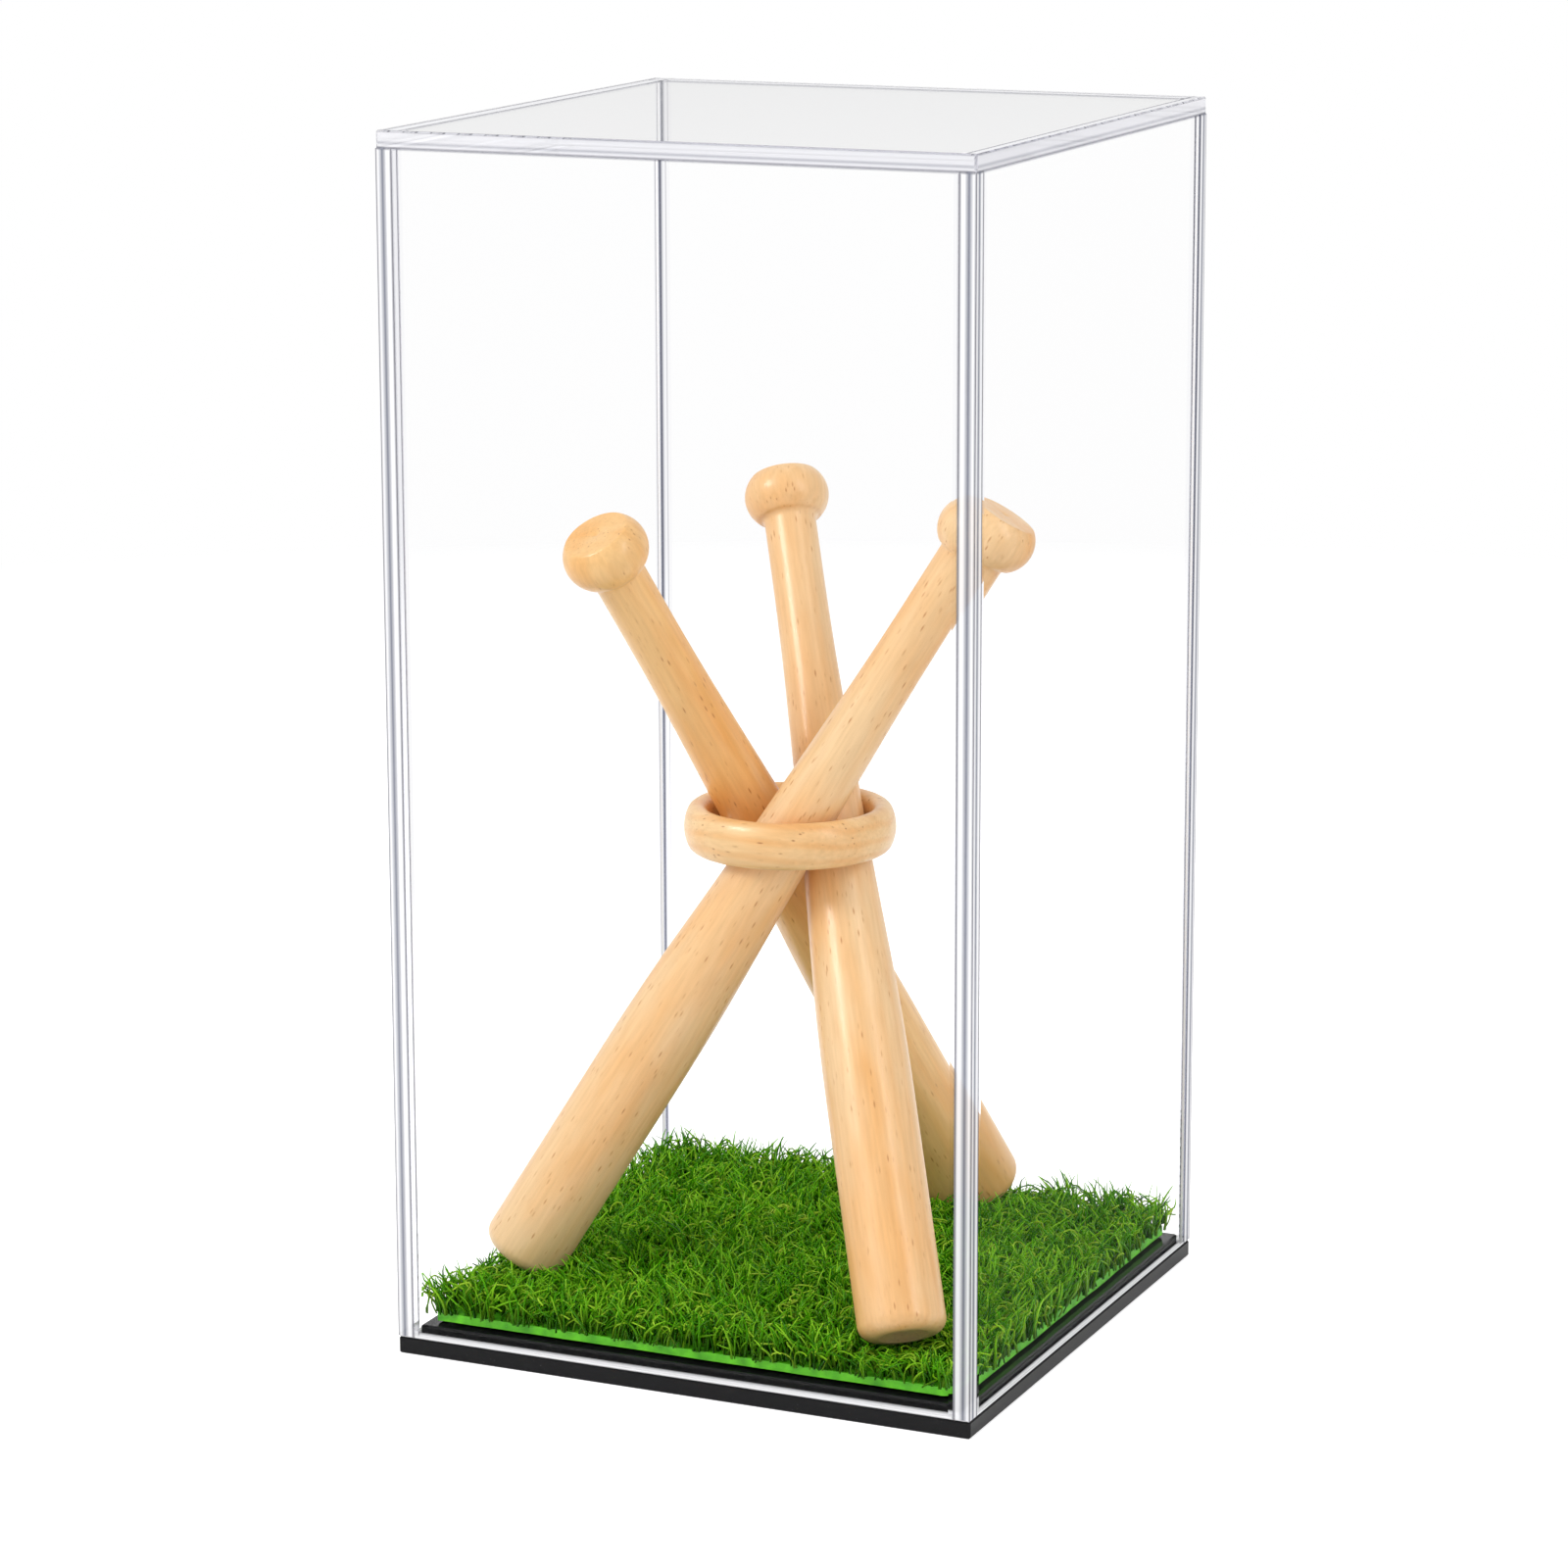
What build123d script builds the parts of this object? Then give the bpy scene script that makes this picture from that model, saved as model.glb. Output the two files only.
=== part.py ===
from build123d import *
import math
import os
import random

# A clear acrylic display case for one baseball. A five-sided cover lifts off a black
# base. Inside, three small turned bats cross through a wooden ring on a square of
# artificial turf, and the ball rests on the three knobs.
#
# Millimetres. The origin is the middle of the base's underside, X runs along the
# front from left to right, Y runs to the back and Z is up.

os.makedirs("parts", exist_ok=True)

# Case
CASE_WIDTH = 110.0
CASE_DEPTH = 110.0
CASE_HEIGHT = 218.0
PANEL = 3.0
BOND_LINE = 0.05
PANEL_CORNER = 0.6
EDGE_BREAK = 0.25

# Base
BASE_THICKNESS = 3.0
PLATFORM_THICKNESS = 2.0
PLATFORM_CLEARANCE = 0.4
BASE_CORNER = 0.5

# Turf
TURF_MARGIN = 2.0
TURF_CORNER = 1.0
TAPE_THICKNESS = 0.6
TAPE_WIDTH = 12.0
TAPE_INSET = 5.0
BACKING_THICKNESS = 1.1
PILE_BACKING = 0.4
PRESSED_PILE = 1.9
PRESSED_RADIUS = 5.0

# Pile, drawn with far fewer and thicker blades than the real turf has. Each is a
# keeled strip: flat on its back, with a ridge along its front.
PILE_HEIGHT = 8.8
PILE_UNEVENNESS = 2.0
PILE_ROWS = 21
PILE_EDGE = 0.5
PILE_CLEARANCE = 0.4
BLADE_WIDTH = 1.6
BLADE_THICKNESS = 0.7
BLADE_WAIST_WIDTH = 1.3
BLADE_TIP_WIDTH = 0.45
BLADE_LEAN = 1.2
BLADE_SCATTER = 0.6
BLADE_BEND = 0.3
BLADE_EMBED = 0.2
PILE_SEED = 7

# Bat, measured along its axis from the foot
BAT_LENGTH = 162.0
BARREL_RADIUS = 7.8
BARREL_LENGTH = 56.0
NECK_RADIUS = 6.15
NECK_PLACE = 87.0
HANDLE_RADIUS = 4.7
HANDLE_START = 131.0
TAPER_BLEND = 380.0
KNOB_RADIUS = 7.7
KNOB_LENGTH = 9.4
KNOB_FLARE = 1.1
KNOB_FACE_RADIUS = 5.0
FOOT_ROUND = 2.6
CUP_RADIUS = 4.4
CUP_DEPTH = 1.1

# Stand
STAND_X = 1.1
STAND_Y = -7.5
WAIST_HEIGHT = 91.1
LEFT_FOOT_WALL_GAP = 1.0
LEFT_FOOT_FORWARD = 21.3
FRONT_FOOT_WALL_GAP = 1.7
FRONT_FOOT_RIGHT = 36.9
REAR_FOOT_WALL_GAP = 1.9
REAR_FOOT_RIGHT = 14.9
FOOT_CLEARANCE = 0.3
BAT_CLEARANCE = 0.3

# Ring
RING_HEIGHT = 8.4
RING_THICKNESS = 4.8
RING_EDGE_ROUND = 1.9
RING_RISE = 1.0
RING_CLEARANCE = 0.3

# How the stand comes out: its ring rises, and the bats fold together as it does
STAND_LIFT = 50.0
STAND_FOLD = 14.0

# How finely the paths and outlines below are followed
PATH_STEPS = 16
OUTLINE_STEPS = 120
FOOT_PASSES = 20

inner_width = CASE_WIDTH - 2 * PANEL
inner_depth = CASE_DEPTH - 2 * PANEL
turf_width = inner_width - 2 * TURF_MARGIN
turf_depth = inner_depth - 2 * TURF_MARGIN
cover_bottom = BASE_THICKNESS + BOND_LINE
top_panel_bottom = CASE_HEIGHT - PANEL
wall_height = top_panel_bottom - BOND_LINE - cover_bottom
platform_top = BASE_THICKNESS + PLATFORM_THICKNESS
backing_bottom = platform_top + TAPE_THICKNESS
pile_bottom = backing_bottom + BACKING_THICKNESS
turf_top = pile_bottom + PILE_BACKING
foot_rest = turf_top + PRESSED_PILE + FOOT_CLEARANCE


def slab(width, depth, thickness, corner):
    """A plate lying on z = 0 with rounded upright corners and softly broken edges."""
    outline = RectangleRounded(width, depth, corner)
    plate = extrude(outline, thickness)
    level = plate.edges().group_by(Axis.Z)
    return chamfer(level[0] + level[-1], EDGE_BREAK)


def save(piece, name):
    """Names the piece and writes it."""
    piece.label = name
    export_step(piece, f"parts/{name}.step")


def base_plate():
    return slab(CASE_WIDTH, CASE_DEPTH, BASE_THICKNESS, BASE_CORNER)


def base_platform():
    """The inset plate that the cover's walls drop over."""
    width = inner_width - 2 * PLATFORM_CLEARANCE
    depth = inner_depth - 2 * PLATFORM_CLEARANCE
    plate = slab(width, depth, PLATFORM_THICKNESS, BASE_CORNER)
    return Pos(0, 0, BASE_THICKNESS) * plate


def wall(width, depth):
    """One upright panel, its lower edges broken, standing where the cover starts."""
    plate = extrude(Rectangle(width, depth), wall_height)
    plate = chamfer(plate.edges().group_by(Axis.Z)[0], EDGE_BREAK)
    return Pos(0, 0, cover_bottom) * plate


def long_wall(side):
    """The front or back panel, as wide as the case. side is -1 or 1."""
    place = side * (CASE_DEPTH - PANEL) / 2
    return Pos(0, place, 0) * wall(CASE_WIDTH, PANEL)


def short_wall(side):
    """The left or right panel, bonded between the front and the back one."""
    place = side * (CASE_WIDTH - PANEL) / 2
    return Pos(place, 0, 0) * wall(PANEL, inner_depth - 2 * BOND_LINE)


def top_panel():
    """The lid of the cover, flush with the walls that it is bonded onto."""
    plate = extrude(RectangleRounded(CASE_WIDTH, CASE_DEPTH, PANEL_CORNER), PANEL)
    plate = chamfer(plate.edges().group_by(Axis.Z)[-1], EDGE_BREAK)
    return Pos(0, 0, top_panel_bottom) * plate


def long_tape(side):
    """A strip of foam tape under the turf's front or back edge. side is -1 or 1."""
    length = turf_width - 2 * TAPE_INSET
    place = side * (turf_depth / 2 - TAPE_INSET - TAPE_WIDTH / 2)
    strip = extrude(Rectangle(length, TAPE_WIDTH), TAPE_THICKNESS)
    return Pos(0, place, platform_top) * strip


def short_tape(side):
    """A strip under the turf's left or right edge, cut to fit between the long ones."""
    length = turf_depth - 2 * (TAPE_INSET + TAPE_WIDTH + BOND_LINE)
    place = side * (turf_width / 2 - TAPE_INSET - TAPE_WIDTH / 2)
    strip = extrude(Rectangle(TAPE_WIDTH, length), TAPE_THICKNESS)
    return Pos(place, 0, platform_top) * strip


def turf_sheet(thickness, bottom):
    """One layer of the turf's backing."""
    outline = RectangleRounded(turf_width, turf_depth, TURF_CORNER)
    return Pos(0, 0, bottom) * extrude(outline, thickness)


# The bat

taper = [
    (BARREL_RADIUS, 0.0),
    (BARREL_RADIUS, BARREL_LENGTH),
    (NECK_RADIUS, NECK_PLACE),
    (HANDLE_RADIUS, HANDLE_START),
    (HANDLE_RADIUS, BAT_LENGTH - KNOB_LENGTH),
]


def bat_radius(place):
    """The bat's radius at a distance from its foot, down the straight runs of its taper."""
    for (low_radius, low), (high_radius, high) in zip(taper, taper[1:]):
        if place <= high:
            share = max(0.0, place - low) / (high - low)
            return low_radius + share * (high_radius - low_radius)
    return HANDLE_RADIUS


def bat():
    """A turned bat standing on its foot at the origin: cupped end, barrel, taper, knob."""
    knob_middle = BAT_LENGTH - KNOB_LENGTH / 2 + KNOB_FLARE / 2
    cup_edge = (CUP_RADIUS, 0.0)
    foot_flat = (BARREL_RADIUS - FOOT_ROUND, 0.0)
    foot_side = (BARREL_RADIUS, FOOT_ROUND)
    diagonal = FOOT_ROUND * (1 - math.sqrt(0.5))
    foot_middle = (BARREL_RADIUS - diagonal, diagonal)
    handle_end = taper[-1]
    flare_end = (HANDLE_RADIUS + KNOB_FLARE, BAT_LENGTH - KNOB_LENGTH + KNOB_FLARE)
    face_edge = (KNOB_FACE_RADIUS, BAT_LENGTH)
    with BuildPart() as turned:
        with BuildSketch(Plane.XZ):
            with BuildLine():
                TangentArc((0, CUP_DEPTH), cup_edge, tangent=(1, 0))
                Line(cup_edge, foot_flat)
                ThreePointArc(foot_flat, foot_middle, foot_side)
                FilletPolyline(foot_side, *taper[1:], radius=TAPER_BLEND)
                RadiusArc(handle_end, flare_end, KNOB_FLARE)
                ThreePointArc(flare_end, (KNOB_RADIUS, knob_middle), face_edge)
                Line(face_edge, (0, BAT_LENGTH))
                Line((0, BAT_LENGTH), (0, CUP_DEPTH))
            make_face()
        revolve(axis=Axis.Z)
    return turned.part


# The stand: where the three bats lie

left_wall = -inner_width / 2
front_wall = -inner_depth / 2
back_wall = inner_depth / 2
foot_spots = {
    "bat_left": (left_wall + BARREL_RADIUS + LEFT_FOOT_WALL_GAP, STAND_Y - LEFT_FOOT_FORWARD),
    "bat_front": (STAND_X + FRONT_FOOT_RIGHT, front_wall + BARREL_RADIUS + FRONT_FOOT_WALL_GAP),
    "bat_rear": (STAND_X + REAR_FOOT_RIGHT, back_wall - BARREL_RADIUS - REAR_FOOT_WALL_GAP),
}


def bat_line(spot, waist_radius):
    """The axis of a bat: its foot's middle, its unit direction, and its waist point.

    The bat passes the stand's upright axis at the waist radius, square to the line
    between them, and its rounded foot rests on the pressed pile.
    """
    out_x = spot[0] - STAND_X
    out_y = spot[1] - STAND_Y
    reach = math.hypot(out_x, out_y)
    station = math.atan2(out_y, out_x) + math.acos(waist_radius / reach)
    waist = Vector(
        STAND_X + waist_radius * math.cos(station),
        STAND_Y + waist_radius * math.sin(station),
        WAIST_HEIGHT,
    )
    run = math.sqrt(reach**2 - waist_radius**2)
    foot_height = foot_rest
    for _ in range(FOOT_PASSES):
        tilt = math.atan2(run, WAIST_HEIGHT - foot_height)
        rise = FOOT_ROUND * (1 - math.cos(tilt))
        rise += (BARREL_RADIUS - FOOT_ROUND) * math.sin(tilt)
        foot_height = foot_rest + rise
    foot = Vector(spot[0], spot[1], foot_height)
    return foot, (waist - foot).normalized(), waist


def axis_gap(first, second):
    """The gap between two bats where their axes pass closest."""
    foot_a, way_a, _ = first
    foot_b, way_b, _ = second
    apart = foot_b - foot_a
    lean = way_a.dot(way_b)
    along_a = (apart.dot(way_a) - lean * apart.dot(way_b)) / (1 - lean**2)
    along_b = along_a * lean - apart.dot(way_b)
    distance = (foot_a + way_a * along_a - foot_b - way_b * along_b).length
    return distance - bat_radius(along_a) - bat_radius(along_b)


def closest_stand():
    """The lines of the three bats as they cross, no closer than their clearance."""
    radius = HANDLE_RADIUS
    step = BAT_CLEARANCE / 10
    while True:
        lines = {name: bat_line(spot, radius) for name, spot in foot_spots.items()}
        bats = list(lines.values())
        pairs = ((bats[0], bats[1]), (bats[1], bats[2]), (bats[2], bats[0]))
        if min(axis_gap(a, b) for a, b in pairs) >= BAT_CLEARANCE:
            return lines
        radius += step


stand = closest_stand()


def placed_bat(line):
    foot, way, _ = line
    return Plane(origin=foot, z_dir=way).location * bat()


# The ring

ring_middle = WAIST_HEIGHT + RING_RISE


def bat_reach(line, height):
    """How far a bat reaches from the ring's axis at a height: its cut there is an oval."""
    foot, way, _ = line
    along = (height - foot.Z) / way.Z
    centre = foot + way * along
    radius = bat_radius(along)
    run = math.hypot(way.X, way.Y)
    reach = 0.0
    for step in range(OUTLINE_STEPS):
        turn = 2 * math.pi * step / OUTLINE_STEPS
        long_way = radius / way.Z * math.cos(turn)
        short_way = radius * math.sin(turn)
        x = centre.X + (long_way * way.X - short_way * way.Y) / run - STAND_X
        y = centre.Y + (long_way * way.Y + short_way * way.X) / run - STAND_Y
        reach = max(reach, math.hypot(x, y))
    return reach


# The ring's section is an oval of four arcs: two long ones for its sides, and two short
# ones, centred on the section's middle line, for its upper and lower edge.
half_thick = RING_THICKNESS / 2
half_high = RING_HEIGHT / 2
edge_centre = half_high - RING_EDGE_ROUND
side_arc = half_thick**2 + edge_centre**2 - RING_EDGE_ROUND**2
side_arc = side_arc / (RING_THICKNESS - 2 * RING_EDGE_ROUND)
side_centre = side_arc - half_thick
meet_x = RING_EDGE_ROUND * side_centre / math.hypot(side_centre, edge_centre)
meet_y = edge_centre + RING_EDGE_ROUND * edge_centre / math.hypot(side_centre, edge_centre)


def ring_half_width(rise):
    """Half the ring's thickness at a height over its middle."""
    if abs(rise) < meet_y:
        return math.sqrt(side_arc**2 - rise**2) - side_centre
    return math.sqrt(max(0.0, RING_EDGE_ROUND**2 - (abs(rise) - edge_centre) ** 2))


def ring_middle_radius():
    """The smallest radius at which the three bats pass the ring with their clearance."""
    needed = 0.0
    for step in range(OUTLINE_STEPS + 1):
        rise = half_high * (2 * step / OUTLINE_STEPS - 1)
        for line in stand.values():
            reach = bat_reach(line, ring_middle + rise) + ring_half_width(rise)
            needed = max(needed, reach)
    return needed + RING_CLEARANCE


def ring():
    """A turned ring of oval section, taller than it is thick."""
    with BuildPart() as turned:
        with BuildSketch(Plane.XZ):
            with BuildLine(Location((ring_middle_radius(), 0))):
                ThreePointArc((meet_x, -meet_y), (half_thick, 0), (meet_x, meet_y))
                ThreePointArc((meet_x, meet_y), (0, half_high), (-meet_x, meet_y))
                ThreePointArc((-meet_x, meet_y), (-half_thick, 0), (-meet_x, -meet_y))
                ThreePointArc((-meet_x, -meet_y), (0, -half_high), (meet_x, -meet_y))
            make_face()
        revolve(axis=Axis.Z)
    return Pos(STAND_X, STAND_Y, ring_middle) * turned.part


# The pile


def lifted(line, share):
    """A bat's foot and direction when the stand is a share of the way out."""
    foot, way, waist = line
    tilt = math.acos(way.Z) - math.radians(STAND_FOLD) * share
    run = Vector(way.X, way.Y, 0).normalized()
    new_way = run * math.sin(tilt) + Vector(0, 0, math.cos(tilt))
    raised = waist + Vector(0, 0, STAND_LIFT * share)
    return raised - new_way * (waist - foot).length, new_way


def touches_bat(point):
    """True where a bat would press on a blade, standing or on its way out."""
    keep_off = BARREL_RADIUS + BLADE_WIDTH / 2 + PILE_CLEARANCE
    for line in stand.values():
        for step in range(PATH_STEPS + 1):
            foot, way = lifted(line, step / PATH_STEPS)
            along = max(0.0, (point - foot).dot(way))
            if (point - foot - way * along).length < keep_off:
                return True
    return False


def keel(centre, heading, width):
    """The three corners of a blade's level section, whose back lies along the heading."""
    turn = math.radians(heading)
    thickness = width * BLADE_THICKNESS / BLADE_WIDTH
    along = Vector(math.cos(turn), math.sin(turn), 0) * (width / 2)
    across = Vector(-math.sin(turn), math.cos(turn), 0) * (thickness / 2)
    return [centre - along - across, centre + along - across, centre + across]


def blade(root, tip, heading):
    """A tapering blade that bends a little, from inside the backing to its blunt tip."""
    lag = (root - tip) * BLADE_BEND
    middle = (root + tip) / 2 + Vector(lag.X, lag.Y, 0)
    sections = [
        keel(root - Vector(0, 0, BLADE_EMBED), heading, BLADE_WIDTH),
        keel(middle, heading, BLADE_WAIST_WIDTH),
        keel(tip, heading, BLADE_TIP_WIDTH),
    ]
    outlines = [sections[0], sections[-1]]
    for low, high in zip(sections, sections[1:]):
        for corner in range(3):
            after = (corner + 1) % 3
            outlines.append([low[corner], low[after], high[after], high[corner]])
    faces = [Face(Wire.make_polygon(outline)) for outline in outlines]
    return Solid(Shell(faces))


def blades():
    """One blade in each cell of a grid, scattered and leaning, away from the bats."""
    chance = random.Random(PILE_SEED)
    pitch_x = (turf_width - 2 * PILE_EDGE) / PILE_ROWS
    pitch_y = (turf_depth - 2 * PILE_EDGE) / PILE_ROWS
    grown = []
    for row in range(PILE_ROWS):
        for column in range(PILE_ROWS):
            across = (column - (PILE_ROWS - 1) / 2) * pitch_x
            along = (row - (PILE_ROWS - 1) / 2) * pitch_y
            x = across + chance.uniform(-BLADE_SCATTER, BLADE_SCATTER)
            y = along + chance.uniform(-BLADE_SCATTER, BLADE_SCATTER)
            lean_x = chance.uniform(-BLADE_LEAN, BLADE_LEAN)
            lean_y = chance.uniform(-BLADE_LEAN, BLADE_LEAN)
            height = PILE_HEIGHT - chance.uniform(0, PILE_UNEVENNESS)
            heading = chance.uniform(0, 180)
            root = Vector(x, y, turf_top)
            tip = Vector(x + lean_x, y + lean_y, turf_top + height)
            if not any(touches_bat(spot) for spot in (root, (root + tip) / 2, tip)):
                grown.append(blade(root, tip, heading))
    return grown


def pressed_patch(line):
    """The pile that a foot presses flat, under the lowest point of its rim."""
    foot, way, _ = line
    run = math.hypot(way.X, way.Y)
    out = (BARREL_RADIUS - FOOT_ROUND) * way.Z + FOOT_ROUND * run
    x = foot.X + out * way.X / run
    y = foot.Y + out * way.Y / run
    patch = extrude(Circle(PRESSED_RADIUS), PRESSED_PILE + BLADE_EMBED)
    return Pos(x, y, turf_top - BLADE_EMBED) * patch


def turf_pile():
    sheet = turf_sheet(PILE_BACKING, pile_bottom)
    patches = [pressed_patch(line) for line in stand.values()]
    grown = blades()
    print("blades:", len(grown))
    return sheet.fuse(*grown, *patches)


def report():
    """Prints the numbers that the stand's layout gives."""
    for name, (foot, way, waist) in stand.items():
        station = math.degrees(math.atan2(waist.Y - STAND_Y, waist.X - STAND_X))
        tilt = math.degrees(math.acos(way.Z))
        knob = foot + way * BAT_LENGTH
        print(f"{name}: tilt {tilt:.3f}, station {station:.3f}")
        for what, spot in (("foot", foot), ("waist", waist), ("knob", knob)):
            print(f"  {what} {spot.X:.3f} {spot.Y:.3f} {spot.Z:.3f}")
    print(f"ring middle radius {ring_middle_radius():.3f}, height {ring_middle:.3f}")


save(base_plate(), "base_plate")
save(base_platform(), "base_platform")
save(long_tape(-1), "turf_tape_front")
save(long_tape(1), "turf_tape_back")
save(short_tape(-1), "turf_tape_left")
save(short_tape(1), "turf_tape_right")
save(turf_sheet(BACKING_THICKNESS, backing_bottom), "turf_backing")
save(turf_pile(), "turf_pile")
save(ring(), "ring")
for name, line in stand.items():
    save(placed_bat(line), name)
save(long_wall(-1), "front_panel")
save(long_wall(1), "back_panel")
save(short_wall(-1), "left_panel")
save(short_wall(1), "right_panel")
save(top_panel(), "top_panel")
report()
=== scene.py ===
# %% [markdown]
# # A clear display case with crossed bats
#
# The object is an upright acrylic case for one ball. A clear cover stands on a black
# base, and inside it three small turned bats cross through a wooden ring on a square
# of artificial turf. The CAD model brings every piece in its place and at its size.
# This lesson gives the pieces their looks: it keeps the flat plates as they are, turns
# the bats and the ring again as smooth shapes with a wood grain, cuts the turf's sheet
# again with a less even edge, and grows the turf on it blade by blade.

# %% Load the frame
import math

import bmesh
import bpy
import numpy as np
from mathutils import Matrix, Vector


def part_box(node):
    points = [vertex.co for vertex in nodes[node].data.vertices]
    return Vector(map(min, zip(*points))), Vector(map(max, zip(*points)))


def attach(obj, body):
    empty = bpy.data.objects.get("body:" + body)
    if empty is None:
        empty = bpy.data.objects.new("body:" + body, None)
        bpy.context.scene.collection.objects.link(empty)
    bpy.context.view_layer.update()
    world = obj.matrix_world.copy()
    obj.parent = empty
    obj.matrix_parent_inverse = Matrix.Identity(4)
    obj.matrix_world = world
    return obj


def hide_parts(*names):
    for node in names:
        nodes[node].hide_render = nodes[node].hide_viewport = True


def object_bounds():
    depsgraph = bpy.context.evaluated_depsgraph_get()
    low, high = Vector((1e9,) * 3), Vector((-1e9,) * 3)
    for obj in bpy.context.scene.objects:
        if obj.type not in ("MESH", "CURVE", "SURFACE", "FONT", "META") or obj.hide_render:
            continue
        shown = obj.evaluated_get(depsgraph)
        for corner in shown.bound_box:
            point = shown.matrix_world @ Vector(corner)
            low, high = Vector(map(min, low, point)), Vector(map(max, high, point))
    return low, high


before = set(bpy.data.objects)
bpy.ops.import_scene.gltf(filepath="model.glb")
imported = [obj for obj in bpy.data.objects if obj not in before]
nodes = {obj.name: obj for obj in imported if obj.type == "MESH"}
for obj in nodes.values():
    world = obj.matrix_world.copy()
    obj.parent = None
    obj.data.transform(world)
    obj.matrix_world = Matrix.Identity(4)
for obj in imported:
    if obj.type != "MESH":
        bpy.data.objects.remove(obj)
cad_low, cad_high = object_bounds()
MM = 0.001
print("CAD box", [round(v, 4) for v in (*cad_low, *cad_high)])

# %% [markdown]
# ## The camera
#
# The photograph is taken from a little above the case and about 25 degrees to its
# right, with a long lens, so the upright edges are nearly parallel. The camera here
# has the place, the turn and the lens that make the case's corners fall where they do
# in the photograph. It comes first, because everything after it is judged through it.

# %% Place the camera
CAMERA_PLACE = Vector((0.361645, -0.814459, 0.301019))
CAMERA_TURN = math.radians(25.258)
CAMERA_TILT = math.radians(12.402)
CAMERA_ROLL = math.radians(-0.384)
LENS = 116.72
SHIFT_RIGHT = 0.06
SHIFT_UP = -0.025


def new_object(name, data):
    """An object that holds some data, in the scene."""
    made = bpy.data.objects.new(name, data)
    bpy.context.scene.collection.objects.link(made)
    return made


back = Vector((math.sin(CAMERA_TURN) * math.cos(CAMERA_TILT),
               -math.cos(CAMERA_TURN) * math.cos(CAMERA_TILT), math.sin(CAMERA_TILT)))
level_right = Vector((math.cos(CAMERA_TURN), math.sin(CAMERA_TURN), 0))
level_up = back.cross(level_right)
right = math.cos(CAMERA_ROLL) * level_right + math.sin(CAMERA_ROLL) * level_up
up = back.cross(right)

lens = bpy.data.cameras.new("camera")
lens.lens = LENS
lens.sensor_width = 36
lens.shift_x = SHIFT_RIGHT
lens.shift_y = SHIFT_UP
lens.clip_start = 0.01
lens.clip_end = 100
camera = new_object("camera", lens)
turn = Matrix((right, up, back)).transposed()
camera.matrix_world = Matrix.Translation(CAMERA_PLACE) @ turn.to_4x4()
bpy.context.scene.camera = camera
print("camera", round((CAMERA_PLACE - (cad_low + cad_high) / 2).length, 3), "m away")

# %% [markdown]
# ## Helpers for nodes
#
# Every finish below is a small network of nodes. Helpers that add a node, set its
# plain values and join its inputs keep those networks short enough to read. The first
# ones serve the turf's geometry trees as well.

# %% Nodes and numbers
def feed(tree, socket, value):
    """Joins a socket to an output, or sets its plain value."""
    if isinstance(value, bpy.types.NodeSocket):
        tree.links.new(value, socket)
    else:
        socket.default_value = value


def feed_all(tree, node, inputs):
    """Feeds a node's inputs, each by its name or its number."""
    for name, value in inputs.items():
        feed(tree, node.inputs[name], value)


def add(tree, kind, inputs=None, **settings):
    """Adds a node. An input's value is either plain or an output to join to it."""
    node = tree.nodes.new(kind)
    for name, value in settings.items():
        setattr(node, name, value)
    feed_all(tree, node, inputs or {})
    return node


def number(tree, operation, *values, **settings):
    """A Math node's result."""
    node = add(tree, "ShaderNodeMath", dict(enumerate(values)), operation=operation, **settings)
    return node.outputs[0]


def product(tree, *values):
    """All the values multiplied. Of masks, it is what they share."""
    result = values[0]
    for value in values[1:]:
        result = number(tree, "MULTIPLY", result, value)
    return result


def highest(tree, *values):
    """The highest of the values. Of masks, it is what any of them covers."""
    result = values[0]
    for value in values[1:]:
        result = number(tree, "MAXIMUM", result, value)
    return result


def between(tree, value, start, end, at_start=0.0, at_end=1.0):
    """A value's place between a start and an end, clamped, on its way from one number to another."""
    return add(tree, "ShaderNodeMapRange", {"Value": value, "From Min": start, "From Max": end,
                                            "To Min": at_start, "To Max": at_end}).outputs[0]


def vector(tree, operation, *values, scale=None):
    """A Vector Math node's result: a number for a length or a dot product."""
    node = add(tree, "ShaderNodeVectorMath", dict(enumerate(values)), operation=operation)
    if scale is not None:
        feed(tree, node.inputs["Scale"], scale)
    return node.outputs["Value" if operation in ("LENGTH", "DOT_PRODUCT") else "Vector"]

# %% Groups and materials
def new_group(name, inputs, outputs):
    """A shader node group, as (group, its input node, output node).

    Inputs have their default values, outputs their kind of socket, Float or Color.
    """
    group = bpy.data.node_groups.new(name, "ShaderNodeTree")
    for socket, value in inputs.items():
        kind = "NodeSocketFloat" if isinstance(value, float) else "NodeSocketColor"
        group.interface.new_socket(socket, in_out="INPUT", socket_type=kind).default_value = value
    for socket, kind in outputs.items():
        group.interface.new_socket(socket, in_out="OUTPUT", socket_type="NodeSocket" + kind)
    return group, group.nodes.new("NodeGroupInput"), group.nodes.new("NodeGroupOutput")


def use_group(tree, group, inputs):
    """The outputs of a node group that is placed in a material, with its own values."""
    return add(tree, "ShaderNodeGroup", inputs, node_tree=group).outputs


def new_material(name):
    """An empty node material with its output, as (material, tree, output)."""
    material = bpy.data.materials.new(name)
    material.use_nodes = True
    tree = material.node_tree
    tree.nodes.clear()
    return material, tree, tree.nodes.new("ShaderNodeOutputMaterial")


def principled(tree, output, inputs):
    """A Principled BSDF as the material's surface."""
    shader = add(tree, "ShaderNodeBsdfPrincipled", inputs)
    feed_all(tree, output, {"Surface": shader.outputs[0]})


def mix_shaders(tree, share, first, second):
    """The second shader over the first, by its share."""
    return add(tree, "ShaderNodeMixShader", {0: share, 1: first.outputs[0], 2: second.outputs[0]})


def object_place(tree):
    return add(tree, "ShaderNodeTexCoord").outputs["Object"]


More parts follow.
